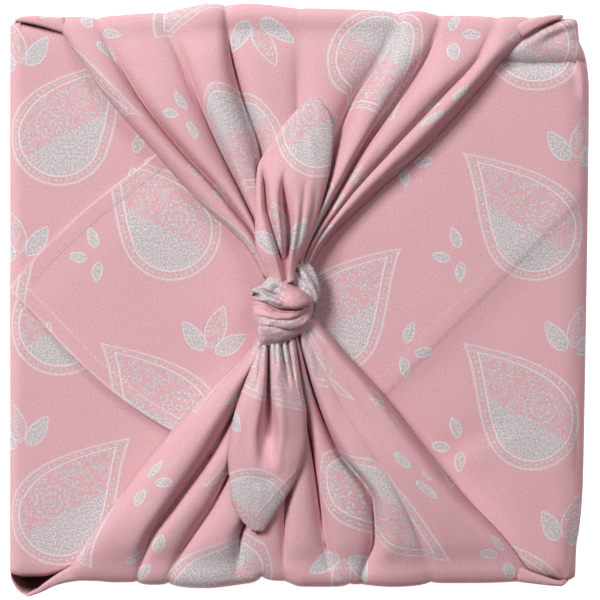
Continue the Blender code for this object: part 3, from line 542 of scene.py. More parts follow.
TURNED_CORNER = (  # left x, y, z of the turned-over upper right corner, from outside to its edge
    (116, 138.2, 40), (116, 139.3, 48), (116, 140.8, 56), (116, 139.8, 60.4),
    (114.6, 137, 62.6), (112, 133, 63.2), (107, 128, 62.8), (103.4, 124.2, 61.9),
    (101.2, 121.6, 60.9), (99.8, 119.2, 59), (99.6, 116.8, 56),
)
TURNED_GRID = 32
TURNED_BRIM = 9.0       # reach and fall of its round turn down the right side
TURNED_CREASES = (
    (((133, 141, 2.6), (122.5, 137.2, 4.6), (114, 132, 3.8), (106.5, 126.5, 1.4)), 2, 2),
    (((138, 138, -1.2), (130, 136, -1.8), (122.5, 132.6, -1.4), (112, 126, 0)), 1.9, 2),
    (((136, 134.6, 1.2), (128, 131.6, 1.6), (120, 128, 0)), 2, 2),
    (((139, 129.5, 0.8), (130, 129, 0.9), (118, 126.5, 0)), 2.2, 2),
)


def build_turned_corner():
    """The upper right corner, turned over onto the flap, whose print goes on across it."""
    rows = np.array(TURNED_CORNER)
    knots = running(np.hypot(np.diff(rows[:, 1]), np.diff(rows[:, 2])))
    fine = read_curve(knots, rows, np.linspace(0.0, knots[-1], TURNED_GRID))
    y = np.broadcast_to(fine[:, 1:2], (TURNED_GRID, TURNED_GRID))
    right = right_side_x(fine[:, 1:2]) + 0.7
    x = fine[:, 0:1] + (right - fine[:, 0:1]) * np.linspace(0.0, 1.0, TURNED_GRID)
    over = quarter_round((x - right + TURNED_BRIM) / TURNED_BRIM)
    fall = np.minimum(TURNED_BRIM, fine[:, 2:3] - fine[0, 2]) * over
    z = fine[:, 2:3] - crease_depth(x, y, TURNED_CREASES) - fall
    points = np.dstack((x, y, z))
    along = path_length(points)
    band, flat = sheets[0][0][-RIGHT_ROWS:, -1], sheets[0][1][-RIGHT_ROWS:, -1, 0]
    beside = np.argmin(np.abs(band[:, 0] - fine[-3, 0] - 18.0))
    add_sheet(points, flat[beside] + band[beside, 0] - x, y[-1, 0] + along[-1:] - along)


# -------- gathered fans
FAN_FINE = 7
FAN_ROWS = (1, 1, 2, 2, 4, 4, 2, 3, 4, 5, 7, 8, 8, 8, 5)    # rows between the places of a fold
VALLEY_SHARPNESS = 2.5
VALLEY_CUT, CUT_WIDTH = 0.8, 0.9        # extra depth, a share of the valley's; width in columns
RELIEF = (1.4, 1.8, 2.05, 2.0, 1.6, 1.2)      # deepening of the folds at brim and stations
SIDE_RELIEF = 0.15      # and more of it in the folds beside the free ends
EDGE_RELIEF = 0.72      # less of it in the two rolls at a fan's edges
FLAT_EDGE = 0.75        # how flat the right roll's slope is
CREST_ROUNDING = 6      # smoothing passes between a roll and the next fold
EDGE_GAP = 1.2          # height of a fan's turned-under edge over the flap
UNDER_REACHES = (14, 9, 4, 1)
FAN_PRINT_Y = 124.0     # where a fan's place on the flat cloth starts
FAN_CLEARANCE, CLEAR_HALF_Y = 0.5, 132.0        # least height over the flaps, and how far out
# A fold up the side: share of its slide from foot to brim, inset, height, shares of its stand-out
# and relief, lean.
FAN_WALL = (
    (0, 17, 0.6, 0, 0, 90), (0, 4, 0.6, 0, 0, 60), (0, 1.2, 1.4, 0, 0, 20),
    (0, 0.2, 3.6, 0, 0, 0), (0.1, 0, 9, 0, 0, 0), (0.5, 0, 30, 0.45, 0.5, 0),
    (0.9, 0, 51, 1, 1, 0), (0.97, 0.9, 57.4, 0.97, 1, 12),
)


def across_folds(values, sharpness=0.0):
    """Columns between folds: ridges come out round, valleys creased by this factor."""
    step = np.diff(values, axis=0)
    before, after = step[:-1], step[1:]
    middle = knot_slope(before, after)
    valley = (before < 0.0) & (after > 0.0)
    left = np.concatenate((step[:1], np.where(valley, sharpness * before, middle), step[-1:]))
    right = np.concatenate((step[:1], np.where(valley, sharpness * after, middle), step[-1:]))
    columns = []
    for column in range(len(step) * FAN_FINE + 1):
        fold = min(column // FAN_FINE, len(step) - 1)
        t = column / FAN_FINE - fold
        columns.append(
            (1 + 2 * t) * (1 - t) ** 2 * values[fold] + t * (1 - t) ** 2 * right[fold]
            + t * t * (3 - 2 * t) * values[fold + 1] - t * t * (1 - t) * left[fold + 1])
    return np.array(columns)


def fan_net(table):
    """For every fold and station: x, base y, base z, lift, and the direction of the lift."""
    net = []
    for index, (foot, brim, places, stand_out, heights) in enumerate(table):
        edge = EDGE_RELIEF if index in (1, len(table) - 2) else 1.0
        beside = [1.0 + SIDE_RELIEF * smooth_step((abs(x) - 20.0) / 25.0) for x in (brim,) + places]
        heights = [edge * height * share * more
                   for height, share, more in zip(heights, RELIEF, beside)]
        relief = 0.18 * (heights[1] - 3.6)
        fold = [
            (foot + slide * (brim - foot), FAN_HALF_Y - inset, level,
             out * stand_out + deep * relief, lean)
            for slide, inset, level, out, deep, lean in FAN_WALL
        ]
        fold.append((brim, FAN_HALF_Y - 3.2, 61.0, 0.8 * stand_out + 0.7 * heights[0], 45.0))
        fold.append((brim + 0.25 * (places[0] - brim), FAN_HALF_Y - 8.5, FAN_Z, heights[0], 80.0))
        for place, station, height in zip(places, FAN_STATIONS_Y, heights[1:]):
            fold.append((place, station, FAN_Z, height, 90.0))
        last = KNOT_X + 0.55 * (places[-1] - KNOT_X)
        fold.append((last, 10.0, FAN_Z, 0.5 * heights[-1] + 3.0, 90.0))
        net.append(fold)
    return np.array(net)


def cut_valleys(lift, fine):
    """Deepen the valleys between the folds to creases, on top of the box alone."""
    columns = np.arange(len(lift))[:, None]
    for fold in range(2, len(fine) - 2):
        depth = 0.5 * (fine[fold - 1, :, 3] + fine[fold + 1, :, 3]) - fine[fold, :, 3]
        cut = VALLEY_CUT * np.maximum(depth, 0.0) * smooth_step((fine[fold, :, 2] - 40.0) / 20.0)
        lift = lift - cut * np.exp(-np.abs(columns - fold * FAN_FINE) / CUT_WIDTH)
    return lift


def roll_edge(x, lift, fine, order, on_top, side):
    """Turn a fan's outermost gap into a roll that comes down onto what lies below.

    Order is 1 at the left edge and -1 at the right one.
    """
    edge, crest = (fine[0], fine[1]) if order > 0 else (fine[-1], fine[-2])
    below = top_height(edge[:, 0], side * edge[:, 1]) + EDGE_GAP - FAN_Z
    edge_lift = on_top * below + (1.0 - on_top) * -0.8
    flat = FLAT_EDGE if order < 0 else 0.0
    ease = np.linspace(0.0, 1.0, FAN_FINE + 1)[:, None]
    across = flat * ease + (1.0 - flat) * (1.0 - np.cos(ease * math.pi / 2.0))
    upward = flat * ease + (1.0 - flat) * np.sin(ease * math.pi / 2.0)
    where = slice(0, FAN_FINE + 1) if order > 0 else slice(-1, -FAN_FINE - 2, -1)
    x[where] = edge[:, 0] + (crest[:, 0] - edge[:, 0]) * across
    lift[where] = edge_lift + (crest[:, 3] - edge_lift) * upward
    crest_column = FAN_FINE if order > 0 else len(lift) - 1 - FAN_FINE
    low, high = crest_column - 4, crest_column + 5
    for _ in range(CREST_ROUNDING):
        beside = lift[low - 1:high - 1] + lift[low + 1:high + 1]
        lift[low:high] = 0.5 * lift[low:high] + 0.25 * beside


def flat_columns(points, fine, brim_row):
    """Places across the flat cloth: what a narrowing fold can't show is hidden in its valley."""
    gap = np.linalg.norm(np.diff(points[::FAN_FINE], axis=0), axis=-1)
    cut = gap[:, brim_row]
    start = running(cut) - cut.sum() / 2.0 - 3.0
    flat_u = np.zeros(points.shape[:2])
    for column in range(len(points)):
        fold = min(column // FAN_FINE, len(gap) - 1)
        t = column / FAN_FINE - fold
        shown = np.minimum(gap[fold] / cut[fold], 1.0)
        falling = fine[fold, :, 3] > fine[fold + 1, :, 3]
        jump = np.where(falling, smooth_step((t - 0.75) / 0.25), smooth_step(t / 0.25))
        flat_u[column] = start[fold] + cut[fold] * (shown * t + (1.0 - shown) * jump)
    return flat_u


def turned_under(points, order, on_top, side):
    """Rows of a fan's side edge where it is turned under, from their inner end to the edge."""
    edge, inner = (0, FAN_FINE) if order > 0 else (-1, -1 - FAN_FINE)
    x, y, z = points[edge].T
    rows = []
    for reach in UNDER_REACHES:
        slide = np.minimum(reach, 0.9 * np.abs(points[inner, :, 0] - x) + 0.4)
        sink = (0.1 + 0.05 * EDGE_GAP * reach) * on_top
        rows.append(np.stack((x + order * slide, y - side * 0.8 * (1 - on_top), z - sink), axis=-1))
    return np.array(rows)


def build_fan(table, side):
    """A corner of the cloth, up its side and gathered towards the knot. Side is 1 or -1 along Y."""
    net = fan_net(table)
    folds = np.arange(len(net))
    mean = net[:, :, 1:3].mean(axis=0)
    knots = running(np.linalg.norm(np.diff(mean, axis=0), axis=1))
    rows = running(FAN_ROWS)
    at = np.interp(np.arange(rows[-1] + 1), rows, knots)
    fine = read_curve(knots, net.transpose(1, 0, 2), at).transpose(1, 0, 2)
    share = np.arange((len(net) - 1) * FAN_FINE + 1) / FAN_FINE
    straight_x = np.array([np.interp(share, folds, row) for row in fine[:, :, 0].T]).T
    x = 0.5 * (across_folds(fine[:, :, 0]) + straight_x)
    base_y, base_z, lean = (read_curve(folds, fine[:, :, column], share) for column in (1, 2, 4))
    turn = np.radians(lean)
    lift = cut_valleys(across_folds(fine[:, :, 3], VALLEY_SHARPNESS), fine)
    on_top = smooth_step((fine[0, :, 2] - 58.0) / 4.0)
    for order in (1, -1):
        roll_edge(x, lift, fine, order, on_top, side)

    gathered = smooth_step((100.0 - base_y) / 80.0)
    crowded = x / (1.0 - 0.6 * gathered)
    wrinkle = (0.25 + 0.45 * gathered) * grain(crowded, base_y * 0.25, 6.0, 20.0 + side)
    lift = lift + wrinkle * on_top
    lowest = top_height(x, side * base_y) + FAN_CLEARANCE - FAN_Z
    lift = np.where(base_y < CLEAR_HALF_Y, np.maximum(lift, lowest), lift)
    y = base_y + lift * np.cos(turn)
    z = base_z + lift * np.sin(turn)
    points = np.dstack((x, side * y, z))

    brim_row = int(np.searchsorted(at, knots[9]))
    flat_u = flat_columns(points, fine, brim_row)
    flat_v = side * (FAN_PRINT_Y + path_length(points.transpose(1, 0, 2)).T)
    left, right = (turned_under(points, order, on_top, side) for order in (1, -1))
    reaches = np.array(UNDER_REACHES, float)[:, None]
    print_u = np.concatenate((flat_u[:1] - reaches, flat_u, flat_u[-1:] + reaches[::-1]))
    print_v = np.pad(flat_v, ((len(reaches),) * 2, (0, 0)), mode="edge")
    add_sheet(np.concatenate((left, points, right[::-1])), print_u, print_v)


# -------- knot and free ends
TAIL_ROWS, TAIL_TOP, TAIL_UNDER = 44, 75, 10
TAIL_FULLNESS = 0.42    # a small power gives a free end a flat back and steep sides
TAIL_BELLY = 1.6        # how far its underside bulges
UPPER_TAIL_PRINT = ((1.25, 31.0), (1.0, -50.5))         # scale and offset of the print's u and v
LOWER_TAIL_PRINT = ((1.15, 68.6), (-1.15, -86.3))
FINE_WRINKLE = 0.35     # height of the finest wrinkles of the free ends and the knot


def build_tail(table, creases, flat_u, flat_v, seams=()):
    """A free end: a closed roll of cloth. The print's places have a scale and an offset."""
    y, left, right, rim, crown = even_rows(table, TAIL_ROWS).T
    top = -np.cos(np.linspace(0.0, math.pi, TAIL_TOP))
    under = -np.cos(np.linspace(math.pi, 2.0 * math.pi, TAIL_UNDER)[1:-1])
    across = np.concatenate((top, under))
    x = left[:, None] + (right - left)[:, None] * (across + 1.0) / 2.0
    yy = np.broadcast_to(y[:, None], x.shape)
    round_off = np.maximum(1.0 - across ** 2, 0.0)
    upper = crown[:, None] * round_off ** TAIL_FULLNESS - crease_depth(x, yy, creases)
    upper += FINE_WRINKLE * grain(x, yy * 0.3, 4.0, flat_u[1])
    lower = -TAIL_BELLY * round_off ** 0.5
    is_top = np.arange(len(across)) < len(top)
    z = rim[:, None] + np.where(is_top, np.maximum(upper, lower + 0.9), lower)
    points = np.dstack((x, yy, z))
    hems = [line_distance(x, yy, seam)[0] + HEM_WIDTH - 0.25 for seam in seams]
    add_sheet(points, flat_u[0] * x + flat_u[1], flat_v[0] * yy + flat_v[1], *hems, closed=True)


KNOT_OUTLINE = (  # x, y round the wrap of the knot, clockwise from its left end
    (-24, 2.4), (-22.8, 5.2), (-19.6, 6.4), (-17.2, 8.6), (-15.2, 11), (-12.4, 11.2), (-7.6, 9.4),
    (-2.4, 6.2), (3, 2.8), (6.6, -2.6), (5.4, -8.8), (1, -16), (-5.4, -20.8), (-11.4, -23.2),
    (-17.6, -23), (-20.6, -19.4), (-21.6, -14), (-23.4, -8), (-23, -3), (-22, -0.4),
)
KNOT_TOP, KNOT_FALL = 86.4, 13.0        # height of its dome, and its fall to the outline
KNOT_ROWS, KNOT_COLUMNS = 56, 120
KNOT_SKIRT = ((3.0, 1.0), (6.0, 0.97), (9.4, 0.9))      # drop below the outline, size there
# Lines of points (x, y) where one wrap lies over the next: step, grooves at both ends, reach.
KNOT_BANDS = (
    (((-24, -0.4), (-19, -0.8), (-15.5, -2), (-11, -4.2), (-6, -4.9), (-1, -4.9), (3, -3.4),
      (6, -2)), (2.6, 1.8, 3.2), 5),
    (((-24, -2.6), (-20, -2.7), (-15.7, -3.6), (-11, -5.9), (-6, -6.7), (-1, -6.5), (5, -4.2)),
     (0.9, 0.7, 1.2), 2.6),
    (((-24, -7.4), (-17, -8.6), (-11, -9.9), (-5, -9.9), (-1, -9), (5.6, -6)),
     (0.8, 0.3, 1.3), 4),
    (((-24, -12.2), (-15, -13), (-10.8, -13.8), (-5.9, -14.8), (0, -14.4), (5, -12)),
     (0.7, 0.1, 1.6), 4.5),
)
KNOT_CREASES = (
    (((-22.4, 2.2, 12), (-20.6, 1.8, 12), (-19, 1.2, 6), (-17.2, 0.6, 0)), (1.3, 1.3, 1, 0.7), 3),
    (((-21.6, 5.2, 3.4), (-19.6, 4.6, 7), (-14.7, 2.4, 7), (-11.6, 1.4, 5.4), (-7.4, -1.4, 2.2),
      (-4, -3, 0)), 1.3, 2),
    (((-14.4, 7, 0), (-12, 5, 2.6), (-8.6, 2.6, 2.4), (-5, -0.6, 0)), 2.2, 2),
    (((-19.4, 2.4, 0), (-15, 0.2, -1.8), (-10, -1.8, -2), (-5, -3.4, 0)), 1.1, 2),
    (((-8, -11, 0), (-2, -9.4, 2.6), (2.6, -7, 3.4), (6.4, -4, 3)), 0.8, 1),
    (((-4, -12.4, 0), (1, -10.6, 2.6), (5.8, -7, 3)), 0.8, 1),
    (((-22, -4.6, 1.6), (-15, -5.8, 2), (-8, -7.6, 1), (-2, -7.6, 0)), 0.8, 1),
    (((-9, -16.6, 0), (-4, -16.8, 1), (1, -15.6, 1.2)), 0.8, 1),
    (((4, -2.2, 2), (5.6, -0.6, 3), (4.4, 1.4, 1.4)), 0.8, 1),
    (((-16, 9, -0.8), (-8, 6.8, -1.4), (0, 2.6, -1.2)), 1.7, 2),
    (((-18, -18, 0.6), (-13, -20.5, 0.8), (-8, -21.5, 0)), 1.6, 2),
)


def band_line(points, x):
    """Y of a line of points (x, y) at places x."""
    line = np.array(points)
    return read_curve(line[:, 0], line[:, 1:2], x.ravel())[:, 0].reshape(x.shape)


def wrap_bands(x, y):
    """Fall of the knot's surface below each line where one wrap of cloth lies over the next."""
    fall = np.zeros(x.shape)
    for points, (step, left_groove, right_groove), reach in KNOT_BANDS:
        below = band_line(points, x) - y
        groove = left_groove + (right_groove - left_groove) * smooth_step((x + 24.0) / 30.0)
        fall += np.where(below > 0.0, step * np.exp(-below / reach), 0.0)
        fall += groove * np.exp(-np.abs(below - 0.3) / 0.8)
    return fall


def build_knot():
    """The wrap of cloth round the middle of the knot, as a dome with the folds that show."""
    turn = even_rows(KNOT_OUTLINE + KNOT_OUTLINE[:1], KNOT_COLUMNS + 1)[:-1]
    centre = turn.mean(axis=0)
    reach = np.linspace(0.0, 1.0, KNOT_ROWS) ** 0.8
    x = centre[0] + (turn[:, 0] - centre[0]) * reach[:, None]
    y = centre[1] + (turn[:, 1] - centre[1]) * reach[:, None]
    dome = KNOT_TOP - KNOT_FALL * (1.0 - np.sqrt(np.maximum(1.0 - reach ** 2.6, 0.0)))
    inward = 1.0 - reach[:, None] ** 6
    z = dome[:, None] - (wrap_bands(x, y) + crease_depth(x, y, KNOT_CREASES)) * (0.5 + 0.5 * inward)
    z = z + FINE_WRINKLE * grain(x, y * 1.6, 3.0, 40.0)
    skirt = []
    for drop, pull in KNOT_SKIRT:
        skirt.append(np.column_stack((centre + (turn - centre) * pull, z[-1] - drop)))
    points = np.concatenate((np.stack((x, y, z), axis=-1), np.array(skirt)))
    px, py = points[..., 0], points[..., 1]
    upper, middle = py > band_line(KNOT_BANDS[0][0], px), py > band_line(KNOT_BANDS[2][0], px)
    # Each wrap shows another place of the print: a drop's silver part, plain ground, its lace.
    silver_u = np.minimum(2.0 * px + 78.5, 0.4 * px + 69.7)
    print_u = np.where(upper, silver_u, np.where(middle, px + 93.5, px + 49.0))
    print_v = np.where(upper, 1.2 * py + 18.0, np.where(middle, py + 52.0, py + 55.5))
    add_sheet(points, print_u, print_v, closed=True)


SILVER_STRAND = (  # x, y, z, half width, half height
    (-4.4, 18.6, 68, 3, 2.4), (-1.8, 15.6, 69.8, 4.6, 3.2), (0.9, 11.2, 71.2, 5.2, 3.8),
    (4, 6, 71, 4.6, 4), (5.9, 1.4, 69.8, 3.6, 3.6), (5.8, -3, 67.6, 2.6, 2.8),
)
STRAND_ROWS, STRAND_COLUMNS = 22, 34
STRAND_WAY, STRAND_PRINT = (1.0, 0.6, 0.0), (45.5, 19.0)        # direction across it; print's place


def unit(ways):
    """Rows of directions at length 1."""
    return ways / np.linalg.norm(ways, axis=1)[:, None]


def build_strand(table, across, flat_u, flat_v):
    """A pleated strand of cloth that runs behind the knot."""
    fine, across = even_rows(table, STRAND_ROWS), np.array(across)
    ahead = unit(np.gradient(fine[:, :3], axis=0))
    wide = unit(across - ahead * (ahead @ across)[:, None])
    high = np.cross(ahead, wide)
    angle = np.linspace(0.0, 2.0 * math.pi, STRAND_COLUMNS, endpoint=False)
    twist = angle + 0.02 * np.arange(len(fine))[:, None]
    pleat = 1.0 + 0.24 * np.sin(twist * 5.0 + 0.6) + 0.10 * np.sin(twist * 9.0)
    points = (fine[:, None, :3] + wide[:, None] * (fine[:, 3:4] * np.cos(angle) * pleat)[..., None]
              + high[:, None] * (fine[:, 4:5] * np.sin(angle) * pleat)[..., None])
    add_sheet(points, 0.7 * points[..., 0] + flat_u, 0.7 * points[..., 1] + flat_v, closed=True)


# -------- one cloth
def add_object(name, data):
    """An object with this data, in the scene."""
    thing = bpy.data.objects.new(name, data)
    bpy.context.scene.collection.objects.link(thing)
    return thing


def make_cloth():
    """Join the sheets into one mesh and give it its thickness."""
    places, faces, layers = [], [], []
    for points, flat, closed in sheets:
        rows, columns = points.shape[:2]
        base = sum(len(part) for part in places)
        index = np.arange(rows * columns).reshape(rows, columns) + base
        if closed:
            index = np.concatenate((index, index[:, :1]), axis=1)
        quads = np.stack((index[:-1, :-1], index[:-1, 1:], index[1:, 1:], index[1:, :-1]), axis=-1)
        places.append(points.reshape(-1, 3))
        layers.append(flat.reshape(-1, 6))
        faces.append(quads.reshape(-1, 4))
    places, faces, layers = (np.concatenate(part) for part in (places, faces, layers))
    mesh = bpy.data.meshes.new("furoshiki")
    mesh.from_pydata((places * MM).tolist(), [], faces.tolist())
    corners = faces.ravel()
    for name, first in (("Print", 0), ("Hem", 2), ("Under", 4)):
        layer = mesh.uv_layers.new(name=name)
        layer.data.foreach_set("uv", (layers[corners, first:first + 2] * MM).ravel())
    cloth = add_object("furoshiki", mesh)
    solidify = cloth.modifiers.new("Thickness", "SOLIDIFY")
    solidify.thickness = THICKNESS * MM
    solidify.offset = 0.0
    solidify.use_even_offset = False
    evaluated = cloth.evaluated_get(bpy.context.evaluated_depsgraph_get())
    final = bpy.data.meshes.new_from_object(evaluated)
    cloth.modifiers.clear()
    cloth.data = final
    work = bmesh.new()
    work.from_mesh(final)
    bmesh.ops.recalc_face_normals(work, faces=work.faces)
    work.to_mesh(final)
    work.free()
    final.shade_smooth()
    return cloth


build_band()
for x_side, y_side in ((-1, 1), (1, 1), (-1, -1), (1, -1)):
    build_corner(x_side, y_side)
build_turned_corner()
for rows in LIPS:
    build_lip(rows)
build_fan(UPPER_FAN, 1)
build_fan(LOWER_FAN, -1)
build_tail(UPPER_TAIL, UPPER_TAIL_CREASES, *UPPER_TAIL_PRINT)
build_tail(LOWER_TAIL, LOWER_TAIL_CREASES, *LOWER_TAIL_PRINT, LOWER_TAIL_SEAMS)
build_strand(SILVER_STRAND, STRAND_WAY, *STRAND_PRINT)
build_knot()
cloth = make_cloth()


# -------- materials
def give(tree, node, inputs):
    """Give inputs of a node their formulas, sockets or plain values."""
    for slot, value in inputs.items():
        value = getattr(value, "socket", value)
        if isinstance(value, bpy.types.NodeSocket):
            tree.links.new(value, node.inputs[slot])
        else:
            node.inputs[slot].default_value = value


def add_node(tree, kind, inputs, **settings):
    """A new shader node of this kind."""
    node = tree.nodes.new("ShaderNode" + kind)
    for name, value in settings.items():
        setattr(node, name, value)
    give(tree, node, inputs)
    return node


def new_material(name, inputs):
    """A material, its node tree and its shader."""
    material = bpy.data.materials.new(name)
    material.use_nodes = True
    tree = material.node_tree
    shader = tree.nodes["Principled BSDF"]
    give(tree, shader, inputs)
    return material, tree, shader


def math_step(operation):
    """A method of Formula that is one Math node."""
    return lambda self, *others: self.step(operation, *others)


class Formula:
    """A shader value that can be written in formulas: each step becomes a Math node."""

    def __init__(self, tree, socket):
        self.tree, self.socket = tree, socket

    def step(self, operation, *others, clamp=False):
        inputs = dict(enumerate((self,) + others))
        node = add_node(self.tree, "Math", inputs, operation=operation, use_clamp=clamp)
        return Formula(self.tree, node.outputs[0])

    __add__, __sub__ = math_step("ADD"), math_step("SUBTRACT")
    __mul__, __truediv__ = math_step("MULTIPLY"), math_step("DIVIDE")
    power, fract, floor = math_step("POWER"), math_step("FRACT"), math_step("FLOOR")
    size, least, most = math_step("ABSOLUTE"), math_step("MINIMUM"), math_step("MAXIMUM")
    sine, angle = math_step("SINE"), math_step("ARCTAN2")

    def __neg__(self):
        return self * -1.0

    def rest(self):
        """What is left of 1."""
        return -(self - 1.0)

    def clamped(self, factor=1.0):
        return self.step("MULTIPLY", factor, clamp=True)

    def shows(self, soft):
        """1 where the value is above zero, 0 below, with an edge of this softness."""
        return (self / soft + 0.5).clamped()

    def above(self, limit, soft):
        return (self - limit).shows(soft)

    def below(self, limit, soft):
        return (-(self - limit)).shows(soft)

    def within(self, low, high, soft=0.25):
        """1 between the two values, 0 outside, with edges of this softness."""
        return self.above(low, soft) * self.below(high, soft)


def hypot(a, b):
    return (a * a + b * b).power(0.5)


PRINT_PITCH_X, PRINT_PITCH_Y = 92.0, 95.0
BULB, TAPER, HOOK = 25.5, 50.0, 17.0    # radius of a drop's round end, its length above, its hook
DROP_PLACE, LEAN = (-5.0, -13.0), 24.0  # middle of its round end in the cell, lean in degrees
BEAD_PITCH = 2.9
EYE_PLACE, EYE_RADIUS, RING_PITCH = (-6.0, 4.0), 11.0, 3.3      # rings in the round end
PETALS, PETAL_DEPTH = 13.0, 0.55        # waves round the rings
LACE = {"Scale": 0.30, "Randomness": 0.85}
RIBBON, BEADS, LINE = 1.3, 3.2, 0.8     # widths of the outer band, the row of beads, the inner line
LEAVES = (  # x, y in the cell, angle, length, half width, bend, laced or not
    (-27, 21, -68, 18, 4.6, 2, 0), (-25, 23, -12, 22, 5.4, -2, 1),
    (-22, 22, 44, 18, 4.6, -2, 0),
    (33, -22, 12, 11, 2.9, 1, 0), (37, -27, 88, 10, 2.8, -1, 0),
    (31, -29, 165, 10.5, 2.8, 1, 0),
)


def turned(x, y, place, degrees):
    """Coordinates from a place, in a frame turned clockwise from +Y."""
    turn = math.radians(degrees)
    dx, dy = x - place[0], y - place[1]
    return dx * math.cos(turn) - dy * math.sin(turn), dx * math.sin(turn) + dy * math.cos(turn)


def leaf_depth(x, y, row):
    """Depth inside the edge of one leaf, above zero inside."""
    across, along = turned(x, y, row[:2], row[2])
    share = (along / row[3]).clamped()
    half = (share * share.rest() * 4.0).power(0.7) * (-(share * 0.45 - 1.2)) * row[4]
    outside = (along - share * row[3]).size()
    return half - (across - share * share * row[5]).size() - outside


def texture(tree, kind, u, v, inputs, **settings):
    """A texture node read at places on the flat cloth."""
    join = add_node(tree, "CombineXYZ", {0: u, 1: v})
    return add_node(tree, "Tex" + kind, {"Vector": join.outputs[0], **inputs}, **settings)


def drop_print(tree, u, v):
    """Silver and bright line masks of a half-drop print of paisley drops, leaves and petals."""
    column = (u / PRINT_PITCH_X).floor()
    odd = (column * 0.5).fract() * 2.0
    cell_x = ((u / PRINT_PITCH_X).fract() - 0.5) * PRINT_PITCH_X
    cell_y = ((v / PRINT_PITCH_Y + odd * 0.5).fract() - 0.5) * PRINT_PITCH_Y
    side_x = cell_x * -(odd * 2.0 - 1.0)
    x, y = turned(side_x, cell_y, DROP_PLACE, LEAN)
    rho = hypot(x, y)
    share = (y / TAPER).clamped()
    width = share.rest() * (share - share * share * 0.6 + 1.0) * BULB
    above = (y * 4.0).shows(1.0)
    low = -(rho - BULB)
    high = (width - (x - share.power(2.1) * HOOK).size()) * 0.9
    edge = low + (high - low) * above - y.above(TAPER, 0.2) * 50.0

    inner = edge - RIBBON - BEADS
    run_low = x.size().angle(-y) * (BULB - BEAD_PITCH)
    run_high = y * 1.08 + math.pi / 2.0 * (BULB - BEAD_PITCH)
    run = run_low + (run_high - run_low) * above
    bead = hypot(((run / BEAD_PITCH).fract() - 0.5) * BEAD_PITCH, edge - RIBBON - BEADS / 2.0)
    lace = texture(tree, "Voronoi", u, v, LACE, voronoi_dimensions="2D")
    cell = Formula(tree, lace.outputs["Distance"])
    curls = cell.within(0.24, 0.44, 0.08).most(cell.below(0.10, 0.08))

    eye_x, eye_y = x - EYE_PLACE[0], y - EYE_PLACE[1]
    eye = hypot(eye_x, eye_y)
    petal = (eye_x.angle(eye_y) * PETALS).sine() * PETAL_DEPTH
    rings = ((eye + petal) / RING_PITCH).fract().within(0.16, 0.66, 0.12)
    rings = rings * eye.below(EYE_RADIUS, 0.3)
    belly = (x * 0.80 - y * 0.60).above(1.0, 0.4)
    laced = curls * eye.above(EYE_RADIUS + 0.4, 0.3)
    filled = (belly * 0.97).most(belly.rest() * rings.most(laced))
    bright = inner.within(0.0, LINE).most(edge.within(0.0, RIBBON) * 0.75)
    ink = (filled * inner.above(LINE, 0.3)).most(bright).most(bead.below(0.95, 0.3))
    for row in LEAVES:
        depth = leaf_depth(side_x, cell_y, row)
        inside = depth.shows(0.3)
        rim = depth.within(0.0, 0.7)
        ink = ink.most(inside * curls.most(rim) if row[6] else inside)
        bright = bright.most(rim * 0.8)
    return ink, bright


def tinted(colour):
    """sRGB 0-255 to linear, for values above 10."""
    return tuple(((c / 255.0 + 0.055) / 1.055) ** 2.4 for c in colour) + (1.0,)


GROUND = ((227, 189, 194), (235, 202, 204), (218, 172, 181))      # sRGB: two tones and the slubs
SILVER = ((154, 148, 154), (248, 245, 246), (240, 234, 234))      # worn, whole, bright lines
# sRGB colour of the stitches' thread, also used for the painted highlight along the hems' folded
# edges
STITCH_AND_EDGE_HIGHLIGHT = (243, 212, 214)
YARN, WEAVE_DEPTH, STITCH_PITCH = 0.42, 0.12, 1.9
NOISES = (  # speckle, slubs, blotches
    {"Scale": 1.3, "Detail": 2.0, "Roughness": 0.7},
    {"Scale": 0.9, "Detail": 3.0, "Roughness": 0.75},
    {"Scale": 0.03, "Detail": 3.0, "Roughness": 0.5},
)
FINISH = {"Metallic": 0.0, "Specular IOR Level": 0.12, "Sheen Weight": 0.08, "Sheen Roughness": 0.5}
SHEEN = (236, 150, 160)
BOARD, FIBRE_SCALE = ((150, 120, 88), (186, 156, 120)), 900.0


def read_layer(tree, name):
    """The two values of a UV layer, in millimetres."""
    node = add_node(tree, "UVMap", {}, uv_map=name)
    split = add_node(tree, "SeparateXYZ", {0: node.outputs[0]})
    return [Formula(tree, split.outputs[index]) * 1000.0 for index in range(2)]


def mix(tree, factor, first, second):
    """A mix of two colours."""
    return add_node(tree, "Mix", {0: factor, 6: first, 7: second}, data_type="RGBA").outputs[2]


def bumps(tree, layers):
    """The shader's normal under bumps over one another: height, strength, distance."""
    normal = {}
    for height, strength, distance in layers:
        inputs = {"Height": height, "Strength": strength, "Distance": distance, **normal}
        normal = {"Normal": add_node(tree, "Bump", inputs).outputs[0]}
    return normal


